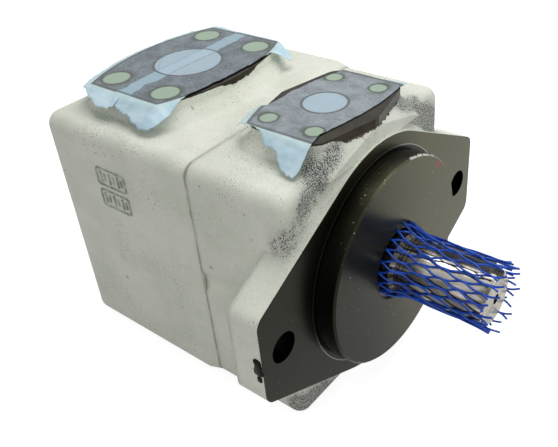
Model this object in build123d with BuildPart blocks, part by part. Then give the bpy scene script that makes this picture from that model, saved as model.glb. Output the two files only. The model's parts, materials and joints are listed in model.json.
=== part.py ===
"""Balanced vane pump: two cast housings, a keyed shaft and a vane cartridge.

Millimetres. +X points out along the shaft, +Z up to the ports, and the origin is the
centre of the pilot circle in the mounting flange's front face.
"""

import os
from math import atan2, cos, degrees, pi, radians, sin

from build123d import *

os.makedirs("parts", exist_ok=True)

# ---------------------------------------------------------------- clearances
running_gap = 0.05  # radial and axial, between a turning piece and its seat
fit_gap = 0.03  # between two pieces of the same body
thread_gap = 0.1  # screw shank to its tapped hole
sheet_gap = 0.3  # tape over a port face

# ---------------------------------------------------------------- mounting flange
pilot_d = 127.0
pilot_length = 12.0
pilot_relief_width = 3.0
pilot_relief_depth = 0.9
flange_rim_r = 73.5
flange_thickness = 20.0
flange_hole_d = 17.5
flange_hole_span = 181.0
ear_end_y = 107.0
ear_flat_half = 22.0
ear_corner_r = 8.0

# ---------------------------------------------------------------- front casting
front_half_width = 75.5
front_top_z = 75.5
front_bottom_z = -76.5
block_setback = 7.0  # the block's front wall behind the flange face
joint_x = -71.4
cast_corner_r = 9.0
cast_edge_r = 7.0
skirt_start_x = -2.0  # the cast cove between the flange rim and the block
skirt_reach = 8.0
scoop_front_r = 20.6
scoop_rear_r = 16.8

# ---------------------------------------------------------------- rear casting
rear_half_width = 78.0
rear_half_height = 77.5
rear_x = -190.3
rear_edge_r = 8.0
joint_taper_length = 9.0

# ---------------------------------------------------------------- ports
discharge_x = -35.6
discharge_pad_height = 12.5
discharge_face_z = front_top_z + discharge_pad_height
discharge_hole_d = 27.0
discharge_pitch_x = 30.2
discharge_pitch_y = 58.7
discharge_thread_d = 10.4
discharge_thread_depth = 20.0
discharge_pad_front = 34.0  # from the port's centre to the pad's blunt points
discharge_pad_rear = 30.0
discharge_shoulder_front = 24.6
discharge_shoulder_rear = 21.4
discharge_pad_half = 40.5
discharge_pad_corner_r = 9.0
suction_x = -140.8
suction_pad_height = 12.5
suction_face_z = rear_half_height + suction_pad_height
suction_hole_d = 47.0
suction_pitch_x = 42.9
suction_pitch_y = 77.8
suction_thread_d = 12.4
suction_thread_depth = 23.0
suction_pad_bulge = 41.0
suction_pad_shoulder = 29.0
suction_pad_half = 52.5
suction_pad_corner_r = 9.0
mouth_chamfer = 1.2
pad_wall = 5.0  # upright part of a pad's side, above its cast slope
pad_slope = 40.0  # degrees from upright
pad_foot_depth = 3.0  # how far a pad's slope runs into the casting

# ---------------------------------------------------------------- shaft line
shaft_d = 31.75
shaft_end_x = 71.3
shaft_chamfer = 1.5
journal_d = 35.0
journal_end_x = 14.9
journal_chamfer = 2.6
seal_bore_d = 46.4
collar_d = 48.0
collar_length = 6.0
middle_d = 34.0
tail_d = 28.0
key_width = 7.94
key_height = 7.94
key_depth = 4.0  # depth of the keyway below the shaft's surface
key_angle = 75.0  # from +Y towards +Z
key_setback = 5.0
key_length = 32.0
centre_hole_d = 6.0
spline_teeth = 10
spline_root_d = 30.0
spline_tooth_width = 5.0

# ---------------------------------------------------------------- ball bearing
bearing_bore_d = 40.0
bearing_od = 80.0
bearing_width = 18.0
bearing_front_x = -8.0
ball_count = 9
ball_d = 11.9
ball_pitch_d = 60.0
race_shoulder = 3.2  # how far a race stands up beside its ball groove
cage_width = 14.4
cage_wall = 2.4
retaining_ring_thickness = 2.5
retaining_ring_height = 5.0
retaining_groove_depth = 2.0
circlip_thickness = 1.7
circlip_groove_depth = 1.2
circlip_height = 3.2
ring_gap_angle = 40.0

# ---------------------------------------------------------------- shaft seal
seal_front_x = 10.0
seal_width = 10.0
seal_wall = 1.6
lip_thickness = 1.2

# ---------------------------------------------------------------- vane cartridge
cartridge_setback = 0.2
chamber_r = 50.0
chamber_front_x = -31.5
mouth_r = 58.0
mouth_length = 22.0
gallery_r = 66.0
gallery_end_x = -166.0
front_plate_thickness = 18.0
front_hub_length = 10.0
ring_width = 43.0
rear_plate_thickness = 16.0
ring_od = 112.0
ring_minor_r = 42.4
ring_major_r = 47.4
dwell_angle = 30.0
rotor_r = 42.0
vane_count = 12
vane_thickness = 2.2
vane_height = 15.0
slot_root_r = 2.4
kidney_r = 41.5
kidney_width = 6.5
under_vane_width = 4.0
plate_bore_clearance = 1.0
rear_hub_r = 30.0
hub_recess_depth = 6.0
bush_wall = 3.5
dowel_d = 6.0
dowel_circle_d = 100.4
dowel_angle = 9.0
cartridge_screw_d = 6.0
cartridge_head_d = 10.0
cartridge_head_height = 6.0
cartridge_screw_depth = 12.0

# ---------------------------------------------------------------- housing screws
bolt_d = 16.0
bolt_hole_d = 17.0
bolt_half_pitch = 56.0
bolt_head_d = 24.0
bolt_head_height = 16.0
bolt_socket = 14.0
bolt_socket_depth = 8.0
spotface_d = 28.0
spotface_depth = 6.0
bolt_engagement = 32.0

# ---------------------------------------------------------------- seals
joint_seal_r = 62.6
joint_seal_section = 3.0
plate_seal_section = 3.0

# ---------------------------------------------------------------- shipping covers
tape_thickness = 0.5
suction_tape_rear = 43.0  # from the port's centre
suction_tape_front = 35.0
suction_flaps = [(14.0, 9.0), (6.0, 3.0)]  # out and down, at -Y and at +Y
discharge_tape_rear = 22.0
discharge_tape_front = 24.0
discharge_flaps = [(16.0, 10.5), (6.0, 3.0)]
net_wall = 1.8
net_start_x = 17.8
net_end_x = 75.0

# ---------------------------------------------------------------- derived places
pilot_r = pilot_d / 2
shaft_r = shaft_d / 2
seal_bore_r = seal_bore_d / 2
bearing_r = bearing_od / 2
bearing_rear_x = bearing_front_x - bearing_width
block_front_x = -block_setback
plate_front_x = joint_x - cartridge_setback
ring_front_x = plate_front_x - front_plate_thickness
ring_rear_x = ring_front_x - ring_width
plate_rear_x = ring_rear_x - rear_plate_thickness
recess_floor_x = gallery_end_x - hub_recess_depth
tail_end_x = recess_floor_x + 1.0
ring_r = ring_od / 2
slot_pitch = 360 / vane_count
vane_tip_r = rotor_r - running_gap
bolt_places = [(y, z) for y in (-bolt_half_pitch, bolt_half_pitch) for z in (-bolt_half_pitch, bolt_half_pitch)]
cartridge_places = [side + off for side in (0, 180) for off in (-dowel_angle, dowel_angle)]
dowel_places = cartridge_places[0::2]
screw_places = cartridge_places[1::2]


# ---------------------------------------------------------------- helpers
def turned_face(corners):
    """A face beside the shaft axis with the given (x, radius) corners, ready to revolve."""
    with BuildSketch(Plane.XZ) as section:
        with BuildLine():
            Polyline(*corners, close=True)
        make_face()
    return section.sketch


def disc(x, radius):
    """A round face across the shaft axis at x."""
    with BuildSketch(Plane.YZ.offset(x)) as face:
        Circle(radius)
    return face.sketch


def spots(x, places, radius):
    """Round faces at (y, z) places across the shaft axis at x."""
    with BuildSketch(Plane.YZ.offset(x)) as face:
        with Locations(*places):
            Circle(radius)
    return face.sketch


def polar(radius, angle):
    """The (y, z) place at an angle from +Y towards +Z."""
    return (radius * cos(radians(angle)), radius * sin(radians(angle)))


def ray_plane(x, angle):
    """The plane across the shaft at x, its first axis turned from +Y by the angle."""
    return Plane(origin=(x, 0, 0), x_dir=(0, *polar(1, angle)), z_dir=(1, 0, 0))


def flange_face():
    """The two-bolt flange: the hull of the round rim and the four ear corners."""
    with BuildSketch(Plane.YZ) as face:
        with BuildLine():
            CenterArc((0, 0), flange_rim_r, 0, 360)
            for y in (-1, 1):
                for z in (-1, 1):
                    CenterArc((y * (ear_end_y - ear_corner_r), z * ear_flat_half), ear_corner_r, 0, 360)
        make_hull()
    return face.sketch


def port_holes(x, z, pitch_x, pitch_y, radius):
    """The four screw-hole circles of a port, on its face."""
    with BuildSketch(Plane.XY.offset(z)) as holes:
        with Locations((x, 0)):
            with GridLocations(pitch_x, pitch_y, 2, 2):
                Circle(radius)
    return holes.sketch


def discharge_pad_face(z):
    """The six-sided pad under the discharge port, its corners rounded."""
    with BuildSketch(Plane.XY.offset(z)) as face:
        with BuildLine():
            Polyline(
                (discharge_x + discharge_pad_front, 0),
                (discharge_x + discharge_shoulder_front, discharge_pad_half),
                (discharge_x - discharge_shoulder_rear, discharge_pad_half),
                (discharge_x - discharge_pad_rear, 0),
                (discharge_x - discharge_shoulder_rear, -discharge_pad_half),
                (discharge_x + discharge_shoulder_front, -discharge_pad_half),
                close=True,
            )
        make_face()
        fillet(face.vertices(), discharge_pad_corner_r)
    return face.sketch


def suction_pad_face(z):
    """The barrel-shaped pad under the suction port."""
    with BuildSketch(Plane.XY.offset(z)) as face:
        with BuildLine():
            front = (suction_x + suction_pad_shoulder, suction_pad_half)
            rear = (suction_x - suction_pad_shoulder, suction_pad_half)
            ThreePointArc((front[0], -front[1]), (suction_x + suction_pad_bulge, 0), front)
            Line(front, rear)
            ThreePointArc(rear, (suction_x - suction_pad_bulge, 0), (rear[0], -rear[1]))
            Line((rear[0], -rear[1]), (front[0], -front[1]))
        make_face()
        fillet(face.vertices(), suction_pad_corner_r)
    return face.sketch


def split_ring(x, inner, outer, thickness, gap_angle, centre_angle):
    """A flat retaining ring with its ends apart."""
    with BuildPart() as ring:
        with BuildSketch(Plane.YZ.offset(x)):
            Circle(outer)
            Circle(inner, mode=Mode.SUBTRACT)
            with BuildLine():
                reach = 2 * outer
                Polyline(
                    (0, 0),
                    polar(reach, centre_angle - gap_angle / 2),
                    polar(reach, centre_angle + gap_angle / 2),
                    close=True,
                )
            make_face(mode=Mode.SUBTRACT)
        extrude(amount=thickness)
    return ring.part


def cam_radius(angle):
    """Inner radius of the cam ring: two short and two long dwells, joined smoothly."""
    fold = abs((angle + 90) % 180 - 90)
    ramp = (fold - dwell_angle / 2) / (90 - dwell_angle)
    ramp = min(max(ramp, 0.0), 1.0)
    return ring_minor_r + (ring_major_r - ring_minor_r) * (1 - cos(pi * ramp)) / 2


def cam_face(x):
    """The closed cam curve as dwell arcs and smooth rises and falls."""
    half = dwell_angle / 2
    rise = 90 - dwell_angle
    with BuildSketch(Plane.YZ.offset(x)) as face:
        with BuildLine():
            for quarter in range(4):
                centre = 90 * quarter
                radius = cam_radius(centre)
                CenterArc((0, 0), radius, centre - half, dwell_angle)
                start = centre + half
                angles = [start + rise * step / 6 for step in range(7)]
                ends = [(-sin(radians(a)), cos(radians(a))) for a in (angles[0], angles[-1])]
                Spline(*[polar(cam_radius(a), a) for a in angles], tangents=ends)
        make_face()
    return face.sketch


def kidney_faces(x, radius, width, centres, sweep):
    """Curved port windows round the shaft axis."""
    with BuildSketch(Plane.YZ.offset(x)) as faces:
        for centre in centres:
            SlotArc(CenterArc((0, 0), radius, centre - sweep / 2, sweep, mode=Mode.PRIVATE), width)
    return faces.sketch


def spline_face(x, allowance):
    """The straight-sided splined section between shaft and rotor."""
    with BuildSketch(Plane.YZ.offset(x)) as face:
        Circle(spline_root_d / 2 + allowance)
        with PolarLocations(0, spline_teeth):
            with Locations((shaft_r / 2 + allowance / 2, 0)):
                Rectangle(shaft_r + allowance, spline_tooth_width + 2 * allowance)
    return face.sketch


def pedestal(outline, face_z, foot_z, low_x, high_x):
    """A port pad: an upright band under its face, then a cast slope down to the casting."""
    with BuildPart() as pad:
        extrude(outline(face_z), amount=-pad_wall)
        extrude(outline(face_z - pad_wall), amount=-(face_z - pad_wall - foot_z), taper=-pad_slope)
        split(bisect_by=Plane.YZ.offset(low_x), keep=Keep.TOP)
        split(bisect_by=Plane.YZ.offset(high_x), keep=Keep.BOTTOM)
    return pad.part


def flange_skirt():
    """The cone that blends the round rim into the corners of the block."""
    with BuildPart() as skirt:
        cone = [
            (skirt_start_x, 0),
            (skirt_start_x, flange_rim_r),
            (skirt_start_x - skirt_reach, flange_rim_r + skirt_reach),
            (-flange_thickness, flange_rim_r + skirt_reach),
            (-flange_thickness, 0),
        ]
        revolve(turned_face(cone), axis=Axis.X)
        with BuildSketch(Plane.YZ.offset(-flange_thickness)):
            with Locations((0, (front_top_z + front_bottom_z) / 2)):
                RectangleRounded(2 * front_half_width, front_top_z - front_bottom_z, cast_corner_r)
        extrude(amount=flange_thickness, mode=Mode.INTERSECT)
    return skirt.part


# ---------------------------------------------------------------- front casting
with BuildPart() as front_body:
    with BuildSketch(Plane.YZ.offset(joint_x)):
        with Locations((0, (front_top_z + front_bottom_z) / 2)):
            RectangleRounded(2 * front_half_width, front_top_z - front_bottom_z, cast_corner_r)
    extrude(amount=block_front_x - joint_x)
    fillet(front_body.faces().sort_by(Axis.X)[-1].edges(), cast_edge_r)
    extrude(flange_face(), amount=-flange_thickness)
    foot_z = flange_rim_r - pad_foot_depth
    add(pedestal(discharge_pad_face, discharge_face_z, foot_z, joint_x, skirt_start_x))
    add(flange_skirt())
    extrude(disc(0, pilot_r), amount=pilot_length)
    chamfer(front_body.faces().sort_by(Axis.X)[-1].edges(), mouth_chamfer)
    relief_r = pilot_r - pilot_relief_depth
    relief = [(0, relief_r), (pilot_relief_width, relief_r), (pilot_relief_width, pilot_r + 1), (0, pilot_r + 1)]
    revolve(turned_face(relief), axis=Axis.X, mode=Mode.SUBTRACT)
    # stepped bore: seal, bearing, discharge chamber
    bore = [
        (pilot_length, 0),
        (pilot_length, seal_bore_r),
        (bearing_front_x, seal_bore_r),
        (bearing_front_x, bearing_r + fit_gap),
        (chamber_front_x, bearing_r + fit_gap),
        (chamber_front_x, chamber_r),
        (joint_x, chamber_r),
        (joint_x, 0),
    ]
    revolve(turned_face(bore), axis=Axis.X, mode=Mode.SUBTRACT)
    groove_top = bearing_r + retaining_groove_depth
    groove = [
        (bearing_rear_x - fit_gap, 0),
        (bearing_rear_x - fit_gap, groove_top),
        (bearing_rear_x - 3 * fit_gap - retaining_ring_thickness, groove_top),
        (bearing_rear_x - 3 * fit_gap - retaining_ring_thickness, 0),
    ]
    revolve(turned_face(groove), axis=Axis.X, mode=Mode.SUBTRACT)
    # O-ring groove in the joint face
    seal_half = joint_seal_section / 2 + fit_gap
    seal_groove = [
        (joint_x, joint_seal_r - seal_half),
        (joint_x, joint_seal_r + seal_half),
        (joint_x + joint_seal_section + fit_gap, joint_seal_r + seal_half),
        (joint_x + joint_seal_section + fit_gap, joint_seal_r - seal_half),
    ]
    revolve(turned_face(seal_groove), axis=Axis.X, mode=Mode.SUBTRACT)
    # flange holes and the scoops that clear their screw heads
    for side in (-1, 1):
        with Locations(((joint_x - flange_thickness) / 2, side * flange_hole_span / 2, 0)):
            Cone(
                scoop_rear_r,
                scoop_front_r,
                -flange_thickness - joint_x,
                rotation=(0, 90, 0),
                mode=Mode.SUBTRACT,
            )
    ears = [(-flange_hole_span / 2, 0), (flange_hole_span / 2, 0)]
    extrude(spots(0, ears, flange_hole_d / 2), amount=-flange_thickness, mode=Mode.SUBTRACT)
    # discharge port
    port_top = Plane.XY.offset(discharge_face_z)
    with BuildSketch(port_top):
        with Locations((discharge_x, 0)):
            Circle(discharge_hole_d / 2)
    extrude(amount=-(discharge_face_z - chamber_r + 5), mode=Mode.SUBTRACT)
    holes = port_holes(
        discharge_x, discharge_face_z, discharge_pitch_x, discharge_pitch_y, discharge_thread_d / 2
    )
    extrude(holes, amount=-discharge_thread_depth, mode=Mode.SUBTRACT)
    # tapped holes for the housing screws
    extrude(
        spots(joint_x, bolt_places, bolt_d / 2 + thread_gap),
        amount=bolt_engagement + 2,
        mode=Mode.SUBTRACT,
    )
front_body.part.label = "front_body"

# ---------------------------------------------------------------- rear casting
with BuildPart() as rear_body:
    with BuildSketch(Plane.YZ.offset(rear_x)):
        RectangleRounded(2 * rear_half_width, 2 * rear_half_height, cast_corner_r)
    extrude(amount=joint_x - joint_taper_length - rear_x)
    fillet(rear_body.faces().sort_by(Axis.X)[0].edges(), rear_edge_r)
    with BuildSketch(Plane.YZ.offset(joint_x - joint_taper_length)):
        RectangleRounded(2 * rear_half_width, 2 * rear_half_height, cast_corner_r)
    extrude(
        amount=joint_taper_length,
        taper=degrees(atan2(rear_half_width - front_half_width, joint_taper_length)),
    )
    foot_z = rear_half_height - pad_foot_depth
    add(pedestal(suction_pad_face, suction_face_z, foot_z, rear_x + rear_edge_r / 2, joint_x))
    cavity = [
        (joint_x, 0),
        (joint_x, mouth_r),
        (joint_x - mouth_length, mouth_r),
        (joint_x - mouth_length, gallery_r),
        (gallery_end_x, gallery_r),
        (gallery_end_x, rear_hub_r + fit_gap),
        (recess_floor_x, rear_hub_r + fit_gap),
        (recess_floor_x, 0),
    ]
    revolve(turned_face(cavity), axis=Axis.X, mode=Mode.SUBTRACT)
    with BuildSketch(Plane.XY.offset(suction_face_z)):
        with Locations((suction_x, 0)):
            Circle(suction_hole_d / 2)
    extrude(amount=-(suction_face_z - gallery_r + 12), mode=Mode.SUBTRACT)
    holes = port_holes(suction_x, suction_face_z, suction_pitch_x, suction_pitch_y, suction_thread_d / 2)
    extrude(holes, amount=-suction_thread_depth, mode=Mode.SUBTRACT)
    extrude(spots(rear_x, bolt_places, bolt_hole_d / 2), amount=joint_x - rear_x, mode=Mode.SUBTRACT)
    extrude(spots(rear_x, bolt_places, spotface_d / 2), amount=spotface_depth, mode=Mode.SUBTRACT)
rear_body.part.label = "rear_body"

# ---------------------------------------------------------------- drive shaft and key
circlip_x = bearing_front_x
with BuildPart() as drive_shaft:
    collar_rear_x = bearing_rear_x - collar_length
    steps = [
        (shaft_end_x, 0),
        (shaft_end_x, shaft_r),
        (journal_end_x + journal_chamfer, shaft_r),
        (journal_end_x, journal_d / 2),
        (bearing_front_x + circlip_thickness + 2, journal_d / 2),
        (bearing_front_x + circlip_thickness + 2, bearing_bore_d / 2 - fit_gap),
        (bearing_rear_x, bearing_bore_d / 2 - fit_gap),
        (bearing_rear_x, collar_d / 2),
        (collar_rear_x, collar_d / 2),
        (collar_rear_x, middle_d / 2),
        (ring_front_x, middle_d / 2),
        (ring_front_x, spline_root_d / 2),
        (ring_rear_x, spline_root_d / 2),
        (ring_rear_x, tail_d / 2),
        (tail_end_x, tail_d / 2),
        (tail_end_x, 0),
    ]
    revolve(turned_face(steps), axis=Axis.X)
    extrude(spline_face(ring_rear_x, 0), amount=ring_width)
    chamfer(drive_shaft.faces().sort_by(Axis.X)[-1].edges(), shaft_chamfer)
    clip_floor = bearing_bore_d / 2 - circlip_groove_depth
    clip_groove = [
        (circlip_x, clip_floor),
        (circlip_x + circlip_thickness + fit_gap, clip_floor),
        (circlip_x + circlip_thickness + fit_gap, bearing_bore_d),
        (circlip_x, bearing_bore_d),
    ]
    revolve(turned_face(clip_groove), axis=Axis.X, mode=Mode.SUBTRACT)
    # keyway, open at the shaft's end
    keyway_floor = shaft_r - key_depth
    keyway_length = key_length + key_setback
    with BuildSketch(ray_plane(shaft_end_x, key_angle)):
        with Locations((keyway_floor + key_depth, 0)):
            Rectangle(2 * key_depth, key_width + 2 * fit_gap)
    extrude(amount=-keyway_length, mode=Mode.SUBTRACT)
    extrude(disc(shaft_end_x, centre_hole_d / 2), amount=-centre_hole_d, mode=Mode.SUBTRACT)
drive_shaft.part.label = "drive_shaft"

with BuildPart() as shaft_key:
    with BuildSketch(ray_plane(shaft_end_x - key_setback, key_angle)):
        with Locations((keyway_floor + key_height / 2, 0)):
            Rectangle(key_height, key_width)
    extrude(amount=-key_length)
shaft_key.part.label = "shaft_key"

# ---------------------------------------------------------------- ball bearing
pitch_r = ball_pitch_d / 2
groove_r = ball_d / 2 + running_gap
bearing_mid_x = (bearing_front_x + bearing_rear_x) / 2


def race(inner, outer):
    """A bearing race with its ball groove."""
    with BuildPart() as ring:
        corners = [
            (bearing_front_x, inner),
            (bearing_front_x, outer),
            (bearing_rear_x, outer),
            (bearing_rear_x, inner),
        ]
        revolve(turned_face(corners), axis=Axis.X)
        with BuildSketch(Plane.XZ):
            with Locations((bearing_mid_x, pitch_r)):
                Circle(groove_r)
        revolve(axis=Axis.X, mode=Mode.SUBTRACT)
    return ring.part


with BuildPart() as bearing_outer_race:
    add(race(pitch_r + race_shoulder, bearing_r))
bearing_outer_race.part.label = "bearing_outer_race"

with BuildPart() as bearing_inner_race:
    add(race(bearing_bore_d / 2, pitch_r - race_shoulder))
bearing_inner_race.part.label = "bearing_inner_race"

with BuildPart() as bearing_balls:
    for ball in range(ball_count):
        place = polar(pitch_r, 360 * ball / ball_count)
        with Locations((bearing_mid_x, place[0], place[1])):
            Sphere(ball_d / 2)
bearing_balls.part.label = "bearing_balls"

with BuildPart() as bearing_cage:
    cage_corners = [
        (bearing_mid_x - cage_width / 2, pitch_r - cage_wall / 2),
        (bearing_mid_x - cage_width / 2, pitch_r + cage_wall / 2),
        (bearing_mid_x + cage_width / 2, pitch_r + cage_wall / 2),
        (bearing_mid_x + cage_width / 2, pitch_r - cage_wall / 2),
    ]
    revolve(turned_face(cage_corners), axis=Axis.X)
    for ball in range(ball_count):
        place = polar(pitch_r, 360 * ball / ball_count)
        with Locations((bearing_mid_x, place[0], place[1])):
            Sphere(groove_r, mode=Mode.SUBTRACT)
bearing_cage.part.label = "bearing_cage"

with BuildPart() as bearing_retaining_ring:
    ring_outer = bearing_r + retaining_groove_depth - fit_gap
    ring_x = bearing_rear_x - 2 * fit_gap - retaining_ring_thickness
    add(
        split_ring(
            ring_x,
            ring_outer - retaining_ring_height,
            ring_outer,
            retaining_ring_thickness,
            ring_gap_angle,
            -90,
        )
    )
bearing_retaining_ring.part.label = "bearing_retaining_ring"

with BuildPart() as shaft_circlip:
    clip_inner = clip_floor + fit_gap
    add(
        split_ring(
            circlip_x,
            clip_inner,
            clip_inner + circlip_height,
            circlip_thickness,
            ring_gap_angle,
            90,
        )
    )
shaft_circlip.part.label = "shaft_circlip"

# ---------------------------------------------------------------- shaft seal
seal_rear_x = seal_front_x - seal_width
with BuildPart() as seal_case:
    case_r = seal_bore_r - fit_gap
    case_corners = [
        (seal_rear_x, case_r),
        (seal_front_x, case_r),
        (seal_front_x, journal_d / 2 + lip_thickness + 1),
        (seal_front_x - seal_wall, journal_d / 2 + lip_thickness + 1),
        (seal_front_x - seal_wall, case_r - seal_wall),
        (seal_rear_x, case_r - seal_wall),
    ]
    revolve(turned_face(case_corners), axis=Axis.X)
seal_case.part.label = "seal_case"

with BuildPart() as seal_lip:
    lip_r = journal_d / 2 + running_gap
    lip_corners = [
        (seal_front_x - seal_wall - fit_gap, case_r - seal_wall - fit_gap),
        (seal_front_x - seal_wall - fit_gap, lip_r + 2 * lip_thickness),
        (seal_rear_x + 3, lip_r),
        (seal_rear_x + 1, lip_r + lip_thickness),
        (seal_front_x - seal_wall - fit_gap - lip_thickness, lip_r + 3 * lip_thickness),
        (seal_front_x - seal_wall - fit_gap - lip_thickness, case_r - seal_wall - fit_gap),
    ]
    revolve(turned_face(lip_corners), axis=Axis.X)
seal_lip.part.label = "seal_lip"

# ---------------------------------------------------------------- vane cartridge
with BuildPart() as cam_ring:
    extrude(disc(ring_rear_x + fit_gap, ring_r), amount=ring_width - 2 * fit_gap)
    extrude(cam_face(ring_rear_x), amount=ring_width, mode=Mode.SUBTRACT)
    dowels = [polar(dowel_circle_d / 2, angle) for angle in dowel_places]
    screws = [polar(dowel_circle_d / 2, angle) for angle in screw_places]
    extrude(spots(ring_rear_x, dowels, dowel_d / 2 + fit_gap), amount=ring_width, mode=Mode.SUBTRACT)
    extrude(
        spots(ring_rear_x, screws, cartridge_screw_d / 2 + thread_gap), amount=ring_width, mode=Mode.SUBTRACT
    )
cam_ring.part.label = "cam_ring"

slot_floor_r = vane_tip_r - vane_height - running_gap
with BuildPart() as rotor:
    extrude(disc(ring_rear_x + running_gap, rotor_r), amount=ring_width - 2 * running_gap)
    extrude(spline_face(ring_rear_x, fit_gap), amount=ring_width, mode=Mode.SUBTRACT)
    with BuildSketch(Plane.YZ.offset(ring_rear_x)):
        with PolarLocations(0, vane_count, start_angle=slot_pitch / 2):
            with Locations(((slot_floor_r + rotor_r + 1) / 2, 0)):
                Rectangle(rotor_r + 1 - slot_floor_r, vane_thickness + 2 * running_gap)
            with Locations((slot_floor_r, 0)):
                Circle(slot_root_r)
    extrude(amount=ring_width, mode=Mode.SUBTRACT)
rotor.part.label = "rotor"


def vane(angle):
    """A flat vane, drawn in, with its rounded tip towards the cam ring."""
    with BuildPart() as blade:
        with BuildSketch(ray_plane(ring_rear_x + running_gap, angle)):
            with BuildLine():
                half = vane_thickness / 2
                shoulder = vane_tip_r - half / 2
                floor = vane_tip_r - vane_height
                Polyline((shoulder, half), (floor, half), (floor, -half), (shoulder, -half))
                ThreePointArc((shoulder, -half), (vane_tip_r, 0), (shoulder, half))
            make_face()
        extrude(amount=ring_width - 2 * running_gap)
    return blade.part


vanes = []
for number in range(vane_count):
    with BuildPart() as one_vane:
        add(vane(slot_pitch * (number + 0.5)))
    one_vane.part.label = f"vane_{number + 1:02d}"
    vanes.append(one_vane.part)

plate_bore_r = middle_d / 2 + plate_bore_clearance
discharge_centres = (45, 225)
suction_centres = (135, 315)
window_sweep = 44
with BuildPart() as front_side_plate:
    plate_corners = [
        (ring_front_x, plate_bore_r),
        (ring_front_x, mouth_r - fit_gap),
        (plate_front_x, mouth_r - fit_gap),
        (plate_front_x, chamber_r - fit_gap),
        (plate_front_x + front_hub_length, chamber_r - fit_gap),
        (plate_front_x + front_hub_length, plate_bore_r),
    ]
    revolve(turned_face(plate_corners), axis=Axis.X)
    plate_seal_x = plate_front_x + front_hub_length / 2
    seal_floor = chamber_r - fit_gap - plate_seal_section
    plate_groove = [
        (plate_seal_x - plate_seal_section / 2 - fit_gap, seal_floor),
        (plate_seal_x + plate_seal_section / 2 + fit_gap, seal_floor),
        (plate_seal_x + plate_seal_section / 2 + fit_gap, chamber_r),
        (plate_seal_x - plate_seal_section / 2 - fit_gap, chamber_r),
    ]
    revolve(turned_face(plate_groove), axis=Axis.X, mode=Mode.SUBTRACT)
    # discharge windows go right through, suction notches are shallow
    windows = kidney_faces(ring_front_x, kidney_r, kidney_width, discharge_centres, window_sweep)
    extrude(windows, amount=front_plate_thickness + front_hub_length, mode=Mode.SUBTRACT)
    notches = kidney_faces(ring_front_x, kidney_r, kidney_width, suction_centres, window_sweep)
    extrude(notches, amount=kidney_width, mode=Mode.SUBTRACT)
    feeds = kidney_faces(ring_front_x, slot_floor_r, under_vane_width, suction_centres + discharge_centres, 60)
    extrude(feeds, amount=under_vane_width, mode=Mode.SUBTRACT)
    extrude(
        spots(ring_front_x, dowels, dowel_d / 2 + fit_gap),
        amount=cartridge_screw_depth + fit_gap,
        mode=Mode.SUBTRACT,
    )
    extrude(
        spots(ring_front_x, screws, cartridge_screw_d / 2 + thread_gap),
        amount=cartridge_screw_depth + 1,
        mode=Mode.SUBTRACT,
    )
front_side_plate.part.label = "front_side_plate"

bush_outer_r = tail_d / 2 + running_gap + bush_wall
with BuildPart() as rear_side_plate:
    rear_corners = [
        (ring_rear_x, bush_outer_r + fit_gap),
        (ring_rear_x, ring_r),
        (plate_rear_x, ring_r),
        (plate_rear_x, rear_hub_r),
        (recess_floor_x + fit_gap, rear_hub_r),
        (recess_floor_x + fit_gap, bush_outer_r + fit_gap),
    ]
    revolve(turned_face(rear_corners), axis=Axis.X)
    # suction windows run through to the gallery, discharge pockets are blind
    windows = kidney_faces(ring_rear_x, kidney_r, kidney_width, suction_centres, window_sweep)
    extrude(windows, amount=-rear_plate_thickness, mode=Mode.SUBTRACT)
    notches = kidney_faces(ring_rear_x, kidney_r, kidney_width, discharge_centres, window_sweep)
    extrude(notches, amount=-kidney_width, mode=Mode.SUBTRACT)
    extrude(
        spots(ring_rear_x, dowels, dowel_d / 2 + fit_gap),
        amount=-(cartridge_screw_depth + fit_gap),
        mode=Mode.SUBTRACT,
    )
    extrude(
        spots(plate_rear_x, screws, cartridge_screw_d / 2 + thread_gap),
        amount=rear_plate_thickness,
        mode=Mode.SUBTRACT,
    )
    extrude(
        spots(plate_rear_x, screws, cartridge_head_d / 2 + thread_gap),
        amount=cartridge_head_height,
        mode=Mode.SUBTRACT,
    )
rear_side_plate.part.label = "rear_side_plate"

with BuildPart() as dowel_pins:
    extrude(
        spots(ring_rear_x - cartridge_screw_depth, dowels, dowel_d / 2),
        amount=ring_width + 2 * cartridge_screw_depth,
    )
dowel_pins.part.label = "dowel_pins"

with BuildPart() as cartridge_screws:
    extrude(
        spots(plate_rear_x + cartridge_head_height, screws, cartridge_screw_d / 2),
        amount=rear_plate_thickness - cartridge_head_height + ring_width + cartridge_screw_depth,
    )
    extrude(spots(plate_rear_x, screws, cartridge_head_d / 2), amount=cartridge_head_height)
cartridge_screws.part.label = "cartridge_screws"

with BuildPart() as rear_bush:
    bush_corners = [
        (ring_rear_x - running_gap, tail_d / 2 + running_gap),
        (ring_rear_x - running_gap, bush_outer_r),
        (recess_floor_x + fit_gap, bush_outer_r),
        (recess_floor_x + fit_gap, tail_d / 2 + running_gap),
    ]
    revolve(turned_face(bush_corners), axis=Axis.X)
rear_bush.part.label = "rear_bush"

# ---------------------------------------------------------------- static seals
with BuildPart() as joint_seal:
    with BuildSketch(Plane.XZ):
        with Locations((joint_x + joint_seal_section / 2, joint_seal_r)):
            Circle(joint_seal_section / 2 - fit_gap)
    revolve(axis=Axis.X)
joint_seal.part.label = "joint_seal"

with BuildPart() as plate_seal:
    with BuildSketch(Plane.XZ):
        with Locations((plate_seal_x, chamber_r - plate_seal_section / 2 - fit_gap / 2)):
            Circle(plate_seal_section / 2 - fit_gap)
    revolve(axis=Axis.X)
plate_seal.part.label = "plate_seal"

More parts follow.
